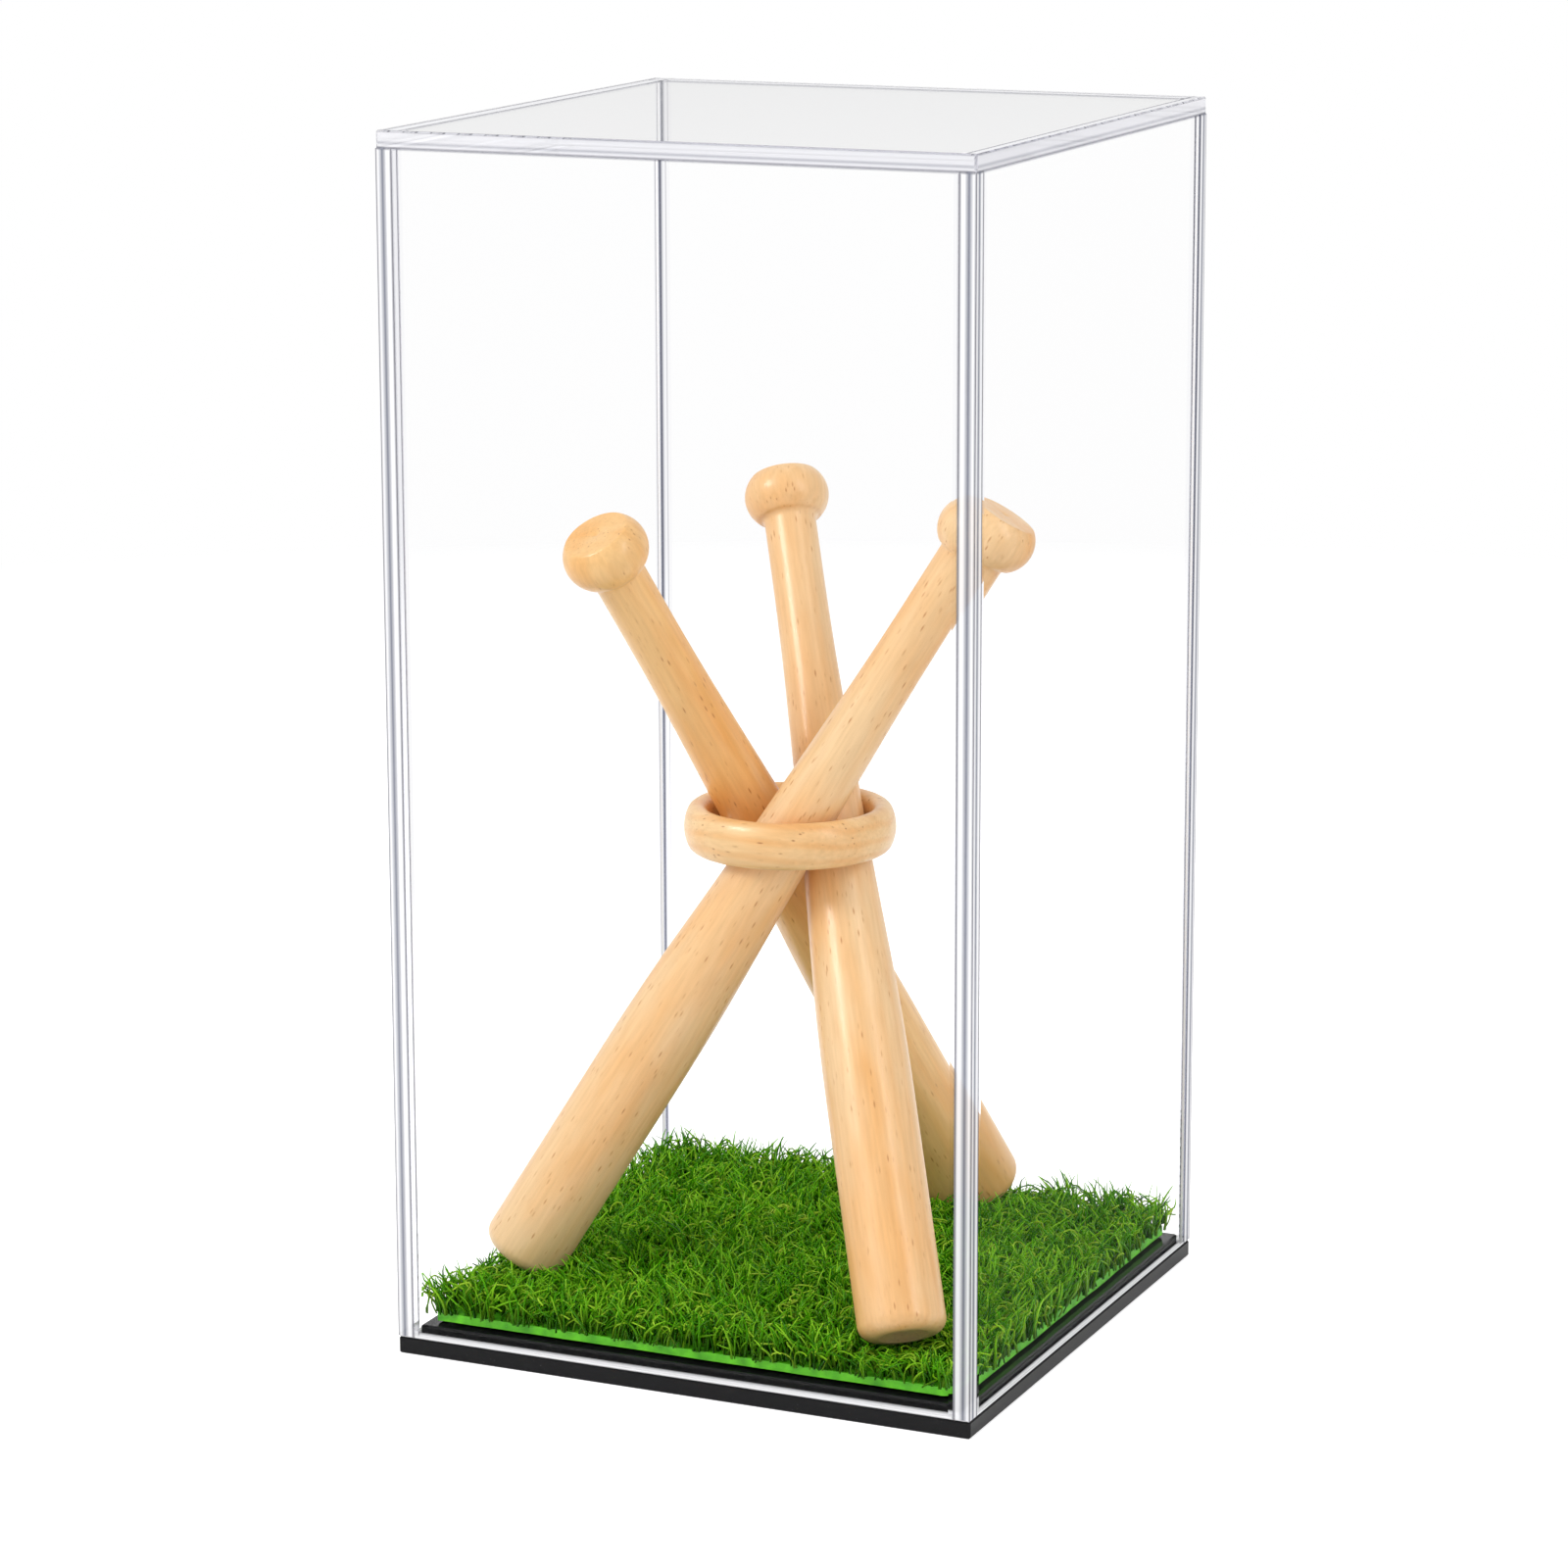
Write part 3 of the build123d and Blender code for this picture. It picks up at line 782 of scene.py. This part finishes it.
def turned_ring(name, node_name, material):
    low, high = (Vector(corner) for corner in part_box(node_name))
    middle = (low + high) / 2
    outer = (high.x - low.x) / 2
    points = points_of(node_name)
    reach = np.hypot(points[:, 0] - middle.x, points[:, 1] - middle.y)
    half_thick = (outer - reach.min()) / 2
    section = ring_section(half_thick, (high.z - low.z) / 2)
    work = bmesh.new()
    layer = work.verts.layers.float_vector.new("turned")
    loops = []
    for i in range(RING_AROUND):
        turn = 2 * math.pi * i / RING_AROUND
        loops.append([])
        for across, rise in section:
            radius = outer - half_thick + across
            spot = Vector((radius * math.cos(turn), radius * math.sin(turn), rise))
            vertex = work.verts.new(middle + spot)
            vertex[layer] = spot.zyx + RING_BLANK
            loops[-1].append(vertex)
    for first, second in zip(loops, loops[1:] + loops[:1]):
        bridge(work, second, first)
    print(name, "outer radius", round(outer / MM, 2), "mm")
    return finished(name, work, material)


ring = turned_ring("turned_ring", "ring", ring_wood)
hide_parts("ring")
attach(ring, "ring")

# %% [markdown]
# ## The turf's backing
#
# Artificial turf is woven through a plastic sheet, and its cut edge shows as a bright
# green line that isn't quite straight. The sheet here is one closed outline, whose
# points wander a little inwards as a knife does, raised to the sheet's thickness. A
# fine weave in the bump and the colour makes it a coated cloth, and the colour is
# darker on the weave's sunken threads, which is painted shade.

# %% Cut the sheet
sheet_low, sheet_high = (Vector(corner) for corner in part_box("turf_backing"))
BACKING = 1.5 * MM
TURF_TOP = sheet_low.z + BACKING
CUT_WANDER, CUT_STEP, FIRST_CUT = 0.56 * MM, 2.5 * MM, 0.35
CUT_BLEND = 5
chance = np.random.default_rng(11)


def cut_side(start, end, inward):
    """Points along one side of the sheet, each a little off the line."""
    count = round((end - start).length / CUT_STEP)
    draws = chance.uniform(0, 1, count + CUT_BLEND - 1)
    drift = np.convolve(draws, np.ones(CUT_BLEND) / CUT_BLEND, "valid")[:count]
    return [start.lerp(end, (i + FIRST_CUT) / count) + inward * (CUT_WANDER * float(d))
            for i, d in enumerate(drift)]


def backing_sheet(material):
    low, high = sheet_low, sheet_high
    corners = [Vector((x, y, 0)) for x, y in ((low.x, low.y), (high.x, low.y),
                                              (high.x, high.y), (low.x, high.y))]
    inwards = [Vector((x, y, 0)) for x, y in ((0, 1), (-1, 0), (0, -1), (1, 0))]
    outline = []
    for i, inward in enumerate(inwards):
        outline += cut_side(corners[i], corners[(i + 1) % 4], inward)
    levels = np.linspace(sheet_low.z, TURF_TOP, 3)
    work = bmesh.new()
    rings = [[work.verts.new((p.x, p.y, level)) for p in outline] for level in levels]
    for lower, upper in zip(rings, rings[1:]):
        bridge(work, lower, upper)
    work.faces.new(list(reversed(rings[0])))
    work.faces.new(rings[-1])
    bmesh.ops.triangulate(work, faces=[f for f in work.faces if len(f.verts) > 4])
    return finished("turf_sheet", work, material, smooth=False)


def coated_cloth():
    material, tree, output = new_material("turf backing")
    place = object_place(tree)
    threads = [add(tree, "ShaderNodeTexWave", {"Vector": place, "Scale": 180.0, "Distortion": 1.5,
                                               "Detail": 1.0}, bands_direction=axis)
               for axis in ("X", "Y")]
    weave = highest(tree, *(thread.outputs["Fac"] for thread in threads))
    tone = ramp(tree, noise(tree, place, 300.0, Detail=3.0),
                [(0.35, (0.07, 0.42, 0.006)), (0.65, (0.16, 0.72, 0.015))])
    # Painted shade: the weave's sunken threads are darker.
    sunk_shade = mix_colours(tree, 1.0, tone, (0.75, 0.8, 0.75, 1), "MULTIPLY")
    principled(tree, output, {"Base Color": mix_colours(tree, weave, sunk_shade, tone),
                              "Roughness": 0.45, "Normal": bump(tree, weave, 0.3)})
    return material


sheet = backing_sheet(coated_cloth())
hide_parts("turf_backing")
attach(sheet, "base")
print("backing", round((sheet_high.x - sheet_low.x) / MM, 1), "mm wide")

# %% [markdown]
# ## Growing the turf
#
# Turf is thousands of blades in tufts, each bent and leaning its own way, so Geometry
# Nodes grow it. The tree sets tufts on a loose grid, gives each a few blades, stands a
# short curve on every root, bends it, and gives it a thin three-sided section. Where a
# blade would run into a bat it is pushed aside, and under a foot it is cut short, as
# pressed pile lies. Everything random has a fixed seed.

# %% Helpers for geometry trees
def new_tree(name, inputs):
    """An empty geometry tree with named inputs, as (tree, its input node, output node)."""
    tree = bpy.data.node_groups.new(name, "GeometryNodeTree")
    tree.interface.new_socket("Geometry", in_out="OUTPUT", socket_type="NodeSocketGeometry")
    for socket, kind in inputs.items():
        tree.interface.new_socket(socket, in_out="INPUT", socket_type="NodeSocket" + kind)
    return tree, tree.nodes.new("NodeGroupInput"), tree.nodes.new("NodeGroupOutput")


def open_socket(sockets, name):
    """The socket of that name which the node's present type shows."""
    return next(s for s in sockets if s.name == name and s.enabled)


def random(tree, kind, low, high, seed):
    """A random value per element: kind is FLOAT or FLOAT_VECTOR."""
    node = add(tree, "FunctionNodeRandomValue", data_type=kind)
    feed(tree, open_socket(node.inputs, "Min"), low)
    feed(tree, open_socket(node.inputs, "Max"), high)
    feed(tree, node.inputs["Seed"], seed)
    return open_socket(node.outputs, "Value")


def keep_value(tree, geometry, name, kind, value):
    """Writes a value on every point, under a name, and gives the geometry back."""
    node = add(tree, "GeometryNodeStoreNamedAttribute", {"Geometry": geometry, "Name": name},
               data_type=kind, domain="POINT")
    feed(tree, open_socket(node.inputs, "Value"), value)
    return node.outputs["Geometry"]


def kept(tree, name, kind="FLOAT"):
    """Reads a value that was kept."""
    node = add(tree, "GeometryNodeInputNamedAttribute", {"Name": name}, data_type=kind)
    return open_socket(node.outputs, "Attribute")


def move(tree, geometry, place):
    node = add(tree, "GeometryNodeSetPosition", {"Geometry": geometry, "Position": place})
    return node.outputs["Geometry"]


def position(tree):
    return add(tree, "GeometryNodeInputPosition").outputs["Position"]

# %% [markdown]
# Both the blades and the curly threads between them start from points on the sheet,
# stay clear of the bats and end as thin three-sided strands. These steps are written
# once, as functions that add their nodes to either tree.

# %% Roots on the sheet
TURN = 2 * math.pi
FAN = 1.2 * MM
LOOSENESS = 0.42
STRAND_INPUTS = {
    "Width": "Float", "Depth": "Float", "Spacing": "Float", "Height": "Float",
    "Thickness": "Float", "Curl": "Float", "Seed": "Int", "Material": "Material",
    **{f"{what} {i}": "Vector" for i in (1, 2, 3) for what in ("Foot", "Way")}}


def seed_of(tree, given, number_in_tree):
    """A seed that differs from node to node and from one layer to the next."""
    return number(tree, "ADD", given["Seed"], float(number_in_tree))


def level_random(tree, given, reach, number_in_tree):
    """A random level vector per element, up to a reach each way."""
    return random(tree, "FLOAT_VECTOR", (-reach, -reach, 0), (reach, reach, 0),
                  seed_of(tree, given, number_in_tree))


def rooted_points(tree, given, per_tuft):
    """Tufts on a loose grid over the sheet, each doubled into its strands' roots."""
    side = number(tree, "DIVIDE", given["Width"], given["Spacing"])
    grid = add(tree, "GeometryNodeMeshGrid", {"Size X": given["Width"], "Size Y": given["Depth"],
                                              "Vertices X": side, "Vertices Y": side})
    points = add(tree, "GeometryNodeMeshToPoints", {"Mesh": grid.outputs["Mesh"]})
    shift = vector(tree, "SCALE", level_random(tree, given, 1, 1),
                   scale=product(tree, given["Spacing"], LOOSENESS))
    tufts = move(tree, points.outputs["Points"], vector(tree, "ADD", position(tree), shift))
    many = add(tree, "GeometryNodeDuplicateElements", {"Geometry": tufts, "Amount": per_tuft},
               domain="POINT")
    roots = move(tree, many.outputs["Geometry"],
                 vector(tree, "ADD", position(tree), level_random(tree, given, FAN, 2)))
    return keep_value(tree, roots, "root", "FLOAT_VECTOR",
                      vector(tree, "ADD", position(tree), (0, 0, TURF_TOP)))


def keep_randoms(tree, given, roots, rows):
    """Keeps a random number on each root for every row of (name, least, most, seed's number)."""
    for name, least, most, seed in rows:
        value = random(tree, "FLOAT", least, most, seed_of(tree, given, seed))
        roots = keep_value(tree, roots, name, "FLOAT", value)
    return roots


def curves_on(tree, roots, count):
    """A short upright curve on each root, with how far along it each point lies."""
    line = add(tree, "GeometryNodeCurvePrimitiveLine", {"Start": (0, 0, 0), "End": (0, 0, 1)})
    line = add(tree, "GeometryNodeResampleCurve", {"Curve": line.outputs[0], "Count": count})
    stood = add(tree, "GeometryNodeInstanceOnPoints", {"Points": roots,
                                                       "Instance": line.outputs[0]})
    curves = add(tree, "GeometryNodeRealizeInstances", {"Geometry": stood.outputs[0]}).outputs[0]
    along = add(tree, "GeometryNodeSplineParameter").outputs["Factor"]
    return keep_value(tree, curves, "along", "FLOAT", along), along

# %% Room for the bats
CLEAR = BARREL + 0.45 * MM
PRESSED_GAP, LEAST_ROOM = 0.5 * MM, 0.7 * MM
CROWDED, CROWDED_HEIGHT = 4 * MM, 0.72
REACH = 1.3 * MM
ROOT_DEPTH = 0.1 * MM


def bat_distance(tree, given, i, place):
    """How far along a bat's axis a place is, its offset from the axis and that length."""
    offset = vector(tree, "SUBTRACT", place, given[f"Foot {i}"])
    along = vector(tree, "DOT_PRODUCT", offset, given[f"Way {i}"])
    off = vector(tree, "SUBTRACT", offset, vector(tree, "SCALE", given[f"Way {i}"], scale=along))
    return along, off, vector(tree, "LENGTH", off)


def keep_height(tree, given, roots, shortest, seed):
    """Keeps a random height on each root, lowered under a foot to the room there."""
    share = random(tree, "FLOAT", shortest, 1.0, seed_of(tree, given, seed))
    height = product(tree, given["Height"], share)
    for i in (1, 2, 3):
        along, _, away = bat_distance(tree, given, i, kept(tree, "root", "FLOAT_VECTOR"))
        room = number(tree, "SUBTRACT", product(tree, along, -1.0), PRESSED_GAP)
        low = number(tree, "MINIMUM", height, highest(tree, room, LEAST_ROOM))
        inside = number(tree, "LESS_THAN", away, CLEAR)
        change = product(tree, number(tree, "SUBTRACT", low, height), inside)
        beside = between(tree, away, CLEAR, CLEAR + CROWDED, CROWDED_HEIGHT, 1.0)
        height = product(tree, number(tree, "ADD", height, change), beside)
    return keep_value(tree, roots, "tall", "FLOAT", height)


def aside_from_bats(tree, given, place):
    """A place, pushed square to a bat's axis until it is clear of the bat."""
    for i in (1, 2, 3):
        along, off, away = bat_distance(tree, given, i, place)
        short = highest(tree, number(tree, "SUBTRACT", CLEAR, away), 0.0)
        push = product(tree, short, number(tree, "GREATER_THAN", along, -PRESSED_GAP))
        aside = vector(tree, "SCALE", vector(tree, "NORMALIZE", off), scale=push)
        place = vector(tree, "ADD", place, aside)
    return place


def inside_case(tree, place):
    """A place, kept over the sheet's top and a little way from the case's walls."""
    limit = Vector((sheet_high.x + REACH, sheet_high.y + REACH, 1))
    place = vector(tree, "MINIMUM", place, limit)
    return vector(tree, "MAXIMUM", place, Vector((-limit.x, -limit.y, TURF_TOP - ROOT_DEPTH)))

# %% Strands
FLAT_SIDES = 3
ROOT_SHADE = (0.20, 0.27, 0.15, 1)
LET_THROUGH = 0.25


def wound(tree, given, curves, angle, swell, rise, swing):
    """The curves with their points wound round the root, raised and swung to their lean."""
    curl = add(tree, "ShaderNodeCombineXYZ", {
        "X": product(tree, number(tree, "COSINE", angle), swell),
        "Y": product(tree, number(tree, "SINE", angle), swell), "Z": rise}).outputs[0]
    lean = vector(tree, "SCALE", kept(tree, "lean", "FLOAT_VECTOR"), scale=swing)
    place = vector(tree, "ADD", kept(tree, "root", "FLOAT_VECTOR"), curl)
    place = vector(tree, "ADD", place, lean)
    return move(tree, curves, inside_case(tree, aside_from_bats(tree, given, place)))


def strands(tree, given, result, curves, width, flatness, spin):
    """Ends the tree: thin three-sided strands along the curves, as a mesh with its material."""
    spun = add(tree, "GeometryNodeSetCurveTilt", {"Curve": curves, "Tilt": spin})
    section = add(tree, "GeometryNodeCurvePrimitiveCircle", {"Resolution": FLAT_SIDES,
                                                             "Radius": 1.0})
    flat = add(tree, "GeometryNodeTransform", {"Geometry": section.outputs["Curve"],
                                               "Scale": (1, flatness, 1)})
    mesh = add(tree, "GeometryNodeCurveToMesh", {"Curve": spun.outputs[0], "Scale": width,
                                                 "Profile Curve": flat.outputs[0],
                                                 "Fill Caps": True})
    real = add(tree, "GeometryNodeRealizeInstances", {"Geometry": mesh.outputs[0]})
    done = add(tree, "GeometryNodeSetMaterial", {"Geometry": real.outputs[0],
                                                 "Material": given["Material"]})
    tree.links.new(done.outputs[0], result.inputs[0])


def grow(name, tree, values):
    """Runs a tree on an empty mesh and gives its result as a plain mesh object."""
    seedbed = new_object(name, bpy.data.meshes.new(name))
    modifier = seedbed.modifiers.new("grow", "NODES")
    modifier.node_group = tree
    for item in tree.interface.items_tree:
        if item.in_out == "INPUT":
            modifier[item.identifier] = values[item.name]
    bpy.context.view_layer.update()
    graph = bpy.context.evaluated_depsgraph_get()
    mesh = bpy.data.meshes.new_from_object(seedbed.evaluated_get(graph), depsgraph=graph)
    seedbed.modifiers.clear()
    seedbed.data = mesh
    print(name, len(mesh.vertices), "points,", len(mesh.polygons), "faces")
    return seedbed


def strand_plastic(name, shade, middle, bright, roughness):
    """The colour of pile yarn: it follows the strand's tone, and painted shade darkens it towards its
    root.
    """
    material, tree, output = new_material(name)
    tone = add(tree, "ShaderNodeAttribute", attribute_name="tone").outputs["Fac"]
    along = add(tree, "ShaderNodeAttribute", attribute_name="along").outputs["Fac"]
    colour = ramp(tree, tone, [(0.0, shade), (0.45, middle), (1.0, bright)])
    # Painted shade: the strand darkens towards its root, down in the pile.
    root = mix_colours(tree, 1.0, colour, ROOT_SHADE, "MULTIPLY")
    colour = mix_colours(tree, along, root, colour)
    yarn = add(tree, "ShaderNodeBsdfPrincipled", {"Base Color": colour, "Roughness": roughness,
                                                  "Specular IOR Level": 0.2})
    glow = add(tree, "ShaderNodeBsdfTranslucent", {"Color": colour})
    feed_all(tree, output, {"Surface": mix_shaders(tree, LET_THROUGH, yarn, glow).outputs[0]})
    return material

# %% [markdown]
# A blade's own rule: it rises to its height, leans further the higher it gets, and
# narrows to its tip. Its colour comes from a tone kept for each blade and from how far
# along it a point is.

# %% The blades
TWIST = 2.6
WIND, WIND_SCALE = 3.0, 70.0
DROOP, DROOP_POWER = 0.12, 3.0
LEAN_POWER, CURL_POWER = 1.7, 1.4
NARROWING, NARROWING_POWER = 0.72, 2.2


def blade_tree():
    tree, given, result = new_tree("turf blades", {**STRAND_INPUTS, "Lean": "Float"})
    given = given.outputs
    roots = rooted_points(tree, given, per_tuft=5)
    roots = keep_randoms(tree, given, roots, (("tone", 0.0, 1.0, 3), ("spin", 0.0, TURN, 4),
                                              ("phase", 0.0, TURN, 5), ("twist", -TWIST, TWIST, 6)))
    wind = add(tree, "ShaderNodeTexNoise", {"Vector": position(tree), "Scale": WIND_SCALE,
                                            "Detail": 1.0})
    drift = vector(tree, "MULTIPLY_ADD", wind.outputs["Color"], (WIND, WIND, 0),
                   (-WIND / 2, -WIND / 2, 0))
    lean = vector(tree, "ADD", level_random(tree, given, 1, 7), drift)
    roots = keep_value(tree, roots, "lean", "FLOAT_VECTOR",
                       vector(tree, "SCALE", lean, scale=given["Lean"]))
    roots = keep_height(tree, given, roots, shortest=0.66, seed=8)

    curves, along = curves_on(tree, roots, count=6)

    def power(exponent):
        return number(tree, "POWER", along, exponent)

    tall = kept(tree, "tall")
    droop = product(tree, power(DROOP_POWER), DROOP)
    curves = wound(tree, given, curves,
                   angle=number(tree, "MULTIPLY_ADD", along, kept(tree, "twist"),
                                kept(tree, "phase")),
                   swell=product(tree, power(CURL_POWER), given["Curl"]),
                   rise=product(tree, tall, number(tree, "SUBTRACT", along, droop)),
                   swing=product(tree, power(LEAN_POWER), tall))
    narrow = number(tree, "SUBTRACT", 1.0, product(tree, power(NARROWING_POWER), NARROWING))
    strands(tree, given, result, curves, product(tree, narrow, given["Thickness"]),
            flatness=0.45, spin=kept(tree, "spin"))
    return tree


sheet_size = sheet_high - sheet_low
pile_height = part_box("turf_pile")[1][2] - TURF_TOP
bat_values = {f"{what} {i}": value for i, bat in enumerate(bats.values(), start=1)
              for what, value in zip(("Foot", "Way"), bat)}
blade_margin, blade_spacing = 1.6 * MM, 3.0 * MM
leaf = strand_plastic("pile yarn", (0.04, 0.26, 0.001), (0.16, 0.62, 0.003),
                      (0.50, 0.98, 0.04), roughness=0.34)
upright_blades = blade_tree()
for name, height, thickness, lean, curl, seed in (
        ("turf_blades", 1.0, 0.34, 0.42, 1.7, 100), ("turf_low_blades", 0.78, 0.30, 0.70, 2.3, 200)):
    blades = grow(name, upright_blades, {
        "Width": sheet_size.x - blade_margin, "Depth": sheet_size.y - blade_margin,
        "Spacing": blade_spacing, "Height": height * pile_height, "Thickness": thickness * MM,
        "Lean": lean, "Curl": curl * MM, "Seed": seed, "Material": leaf, **bat_values})
    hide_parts("turf_pile")
    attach(blades, "base")

# %% [markdown]
# Between the blades lie curly threads, a paler yarn that props them up. Each winds
# round its root as it rises and falls, close over the sheet.

# %% The curly threads
SPRAWL = 2.8 * MM
ARCH = 2.2
SWELL_START, SWELL_GAIN = 0.25, 0.9


def thread_tree():
    tree, given, result = new_tree("curly threads", STRAND_INPUTS)
    given = given.outputs
    roots = rooted_points(tree, given, per_tuft=2)
    roots = keep_randoms(tree, given, roots, (("tone", 0.0, 1.0, 3), ("phase", 0.0, TURN, 4),
                                              ("turns", 3.0, 8.0, 5)))
    roots = keep_value(tree, roots, "lean", "FLOAT_VECTOR", level_random(tree, given, SPRAWL, 6))
    roots = keep_height(tree, given, roots, shortest=0.35, seed=7)
    curves, along = curves_on(tree, roots, count=9)
    swell = number(tree, "MULTIPLY_ADD", along, SWELL_GAIN, SWELL_START)
    arch = number(tree, "SINE", product(tree, along, ARCH))
    curves = wound(tree, given, curves,
                   angle=number(tree, "MULTIPLY_ADD", along, kept(tree, "turns"),
                                kept(tree, "phase")),
                   swell=product(tree, swell, given["Curl"]),
                   rise=product(tree, arch, kept(tree, "tall")), swing=along)
    strands(tree, given, result, curves, given["Thickness"], flatness=1.0, spin=0.0)
    return tree


thread = strand_plastic("curly yarn", (0.10, 0.38, 0.003), (0.30, 0.70, 0.010),
                        (0.66, 0.96, 0.07), roughness=0.4)
thread_margin, thread_spacing = 1.2 * MM, 2.7 * MM
threads = grow("turf_threads", thread_tree(), {
    "Width": sheet_size.x - thread_margin, "Depth": sheet_size.y - thread_margin,
    "Spacing": thread_spacing, "Height": 6.2 * MM, "Thickness": 0.17 * MM, "Curl": 1.5 * MM,
    "Seed": 300, "Material": thread, **bat_values})
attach(threads, "base")

# %% [markdown]
# ## Studio
#
# The photograph has a bright, even surround: white ground, white background and hardly
# any shadow. A large pale floor takes the object's shadow, and a glow lifts it to
# white. The glow lights nothing: only the camera sees it, also through glass, and
# mirrors show a little of it. The world lights the case softly from all sides, a square
# lamp from the front left models the round shapes, and a long narrow one on the right
# is for the highlights on the varnish.

# %% World and floor
AMBIENT, MIRRORED, SEEN = 0.86, 0.42, 1.0
FLOOR, FLOOR_GAP = 12.0, 0.02 * MM
FADE_START, FADE_END = 0.3, 0.8
LIFT, LIFT_MIRRORED = 0.6, 0.1


def surround(tree, plain, mirrored, seen):
    """A strength for lighting rays, for mirrored ones, and for those of the eye and glass."""
    rays = add(tree, "ShaderNodeLightPath").outputs
    direct = highest(tree, rays["Is Camera Ray"], rays["Is Transmission Ray"])
    value = number(tree, "MULTIPLY_ADD", rays["Is Glossy Ray"], mirrored - plain, plain)
    return number(tree, "ADD", value, product(tree, number(tree, "SUBTRACT", seen, value), direct))


def pale_floor():
    """Paper-like near the case, so it takes the shadow, and as bright as the world further off."""
    material, tree, output = new_material("pale floor")
    place = object_place(tree)
    tone = ramp(tree, noise(tree, place, 90.0, Detail=3.0),
                [(0.3, (0.79, 0.79, 0.79)), (0.7, (0.81, 0.81, 0.81))])
    matte = add(tree, "ShaderNodeBsdfDiffuse", {"Color": tone})
    lift = add(tree, "ShaderNodeEmission", {"Strength": surround(tree, 0.0, LIFT_MIRRORED, LIFT)})
    near = add(tree, "ShaderNodeAddShader", {0: matte.outputs[0], 1: lift.outputs[0]})
    far = add(tree, "ShaderNodeEmission", {"Strength": surround(tree, AMBIENT, MIRRORED, SEEN)})
    away = between(tree, vector(tree, "LENGTH", place), FADE_START, FADE_END)
    feed_all(tree, output, {"Surface": mix_shaders(tree, away, near, far).outputs[0]})
    return material


world = bpy.data.worlds.new("studio")
bpy.context.scene.world = world
world.use_nodes = True
sky = world.node_tree
sky.nodes.clear()
soft = add(sky, "ShaderNodeBackground", {"Color": WHITE,
                                         "Strength": surround(sky, AMBIENT, MIRRORED, SEEN)})
add(sky, "ShaderNodeOutputWorld", {"Surface": soft.outputs[0]})

floor_mesh = bpy.data.meshes.new("floor")
floor_corners = [(-FLOOR, -FLOOR, 0), (FLOOR, -FLOOR, 0), (FLOOR, FLOOR, 0), (-FLOOR, FLOOR, 0)]
floor_mesh.from_pydata(floor_corners, [], [(0, 1, 2, 3)])
floor_mesh.materials.append(pale_floor())
floor = new_object("floor", floor_mesh)
floor.location.z = cad_low.z - FLOOR_GAP

# %% Lamps
LONG_WAY = 96


def softbox(name, place, target, width, height, power):
    lamp = bpy.data.lights.new(name, "AREA")
    lamp.shape = "RECTANGLE"
    lamp.size = width
    lamp.size_y = height
    lamp.energy = power
    box = new_object(name, lamp)
    box.location = place
    box.rotation_euler = (Vector(target) - Vector(place)).to_track_quat("-Z", "Y").to_euler()


softbox("key softbox", place=(-0.75, -0.85, 0.95), target=(0, 0, 0.09),
        width=0.42, height=0.42, power=7.6)
softbox("side strip", place=(0.95, -0.35, 0.7), target=(0, 0, 0.1),
        width=0.2, height=0.8, power=2.5)

scene = bpy.context.scene
scene.view_settings.view_transform = "Standard"
scene.cycles.max_bounces = LONG_WAY
scene.cycles.transmission_bounces = LONG_WAY
scene.cycles.glossy_bounces = LONG_WAY
scene.cycles.transparent_max_bounces = 32
print("light follows up to", LONG_WAY, "bounces, for the long way through an edge")
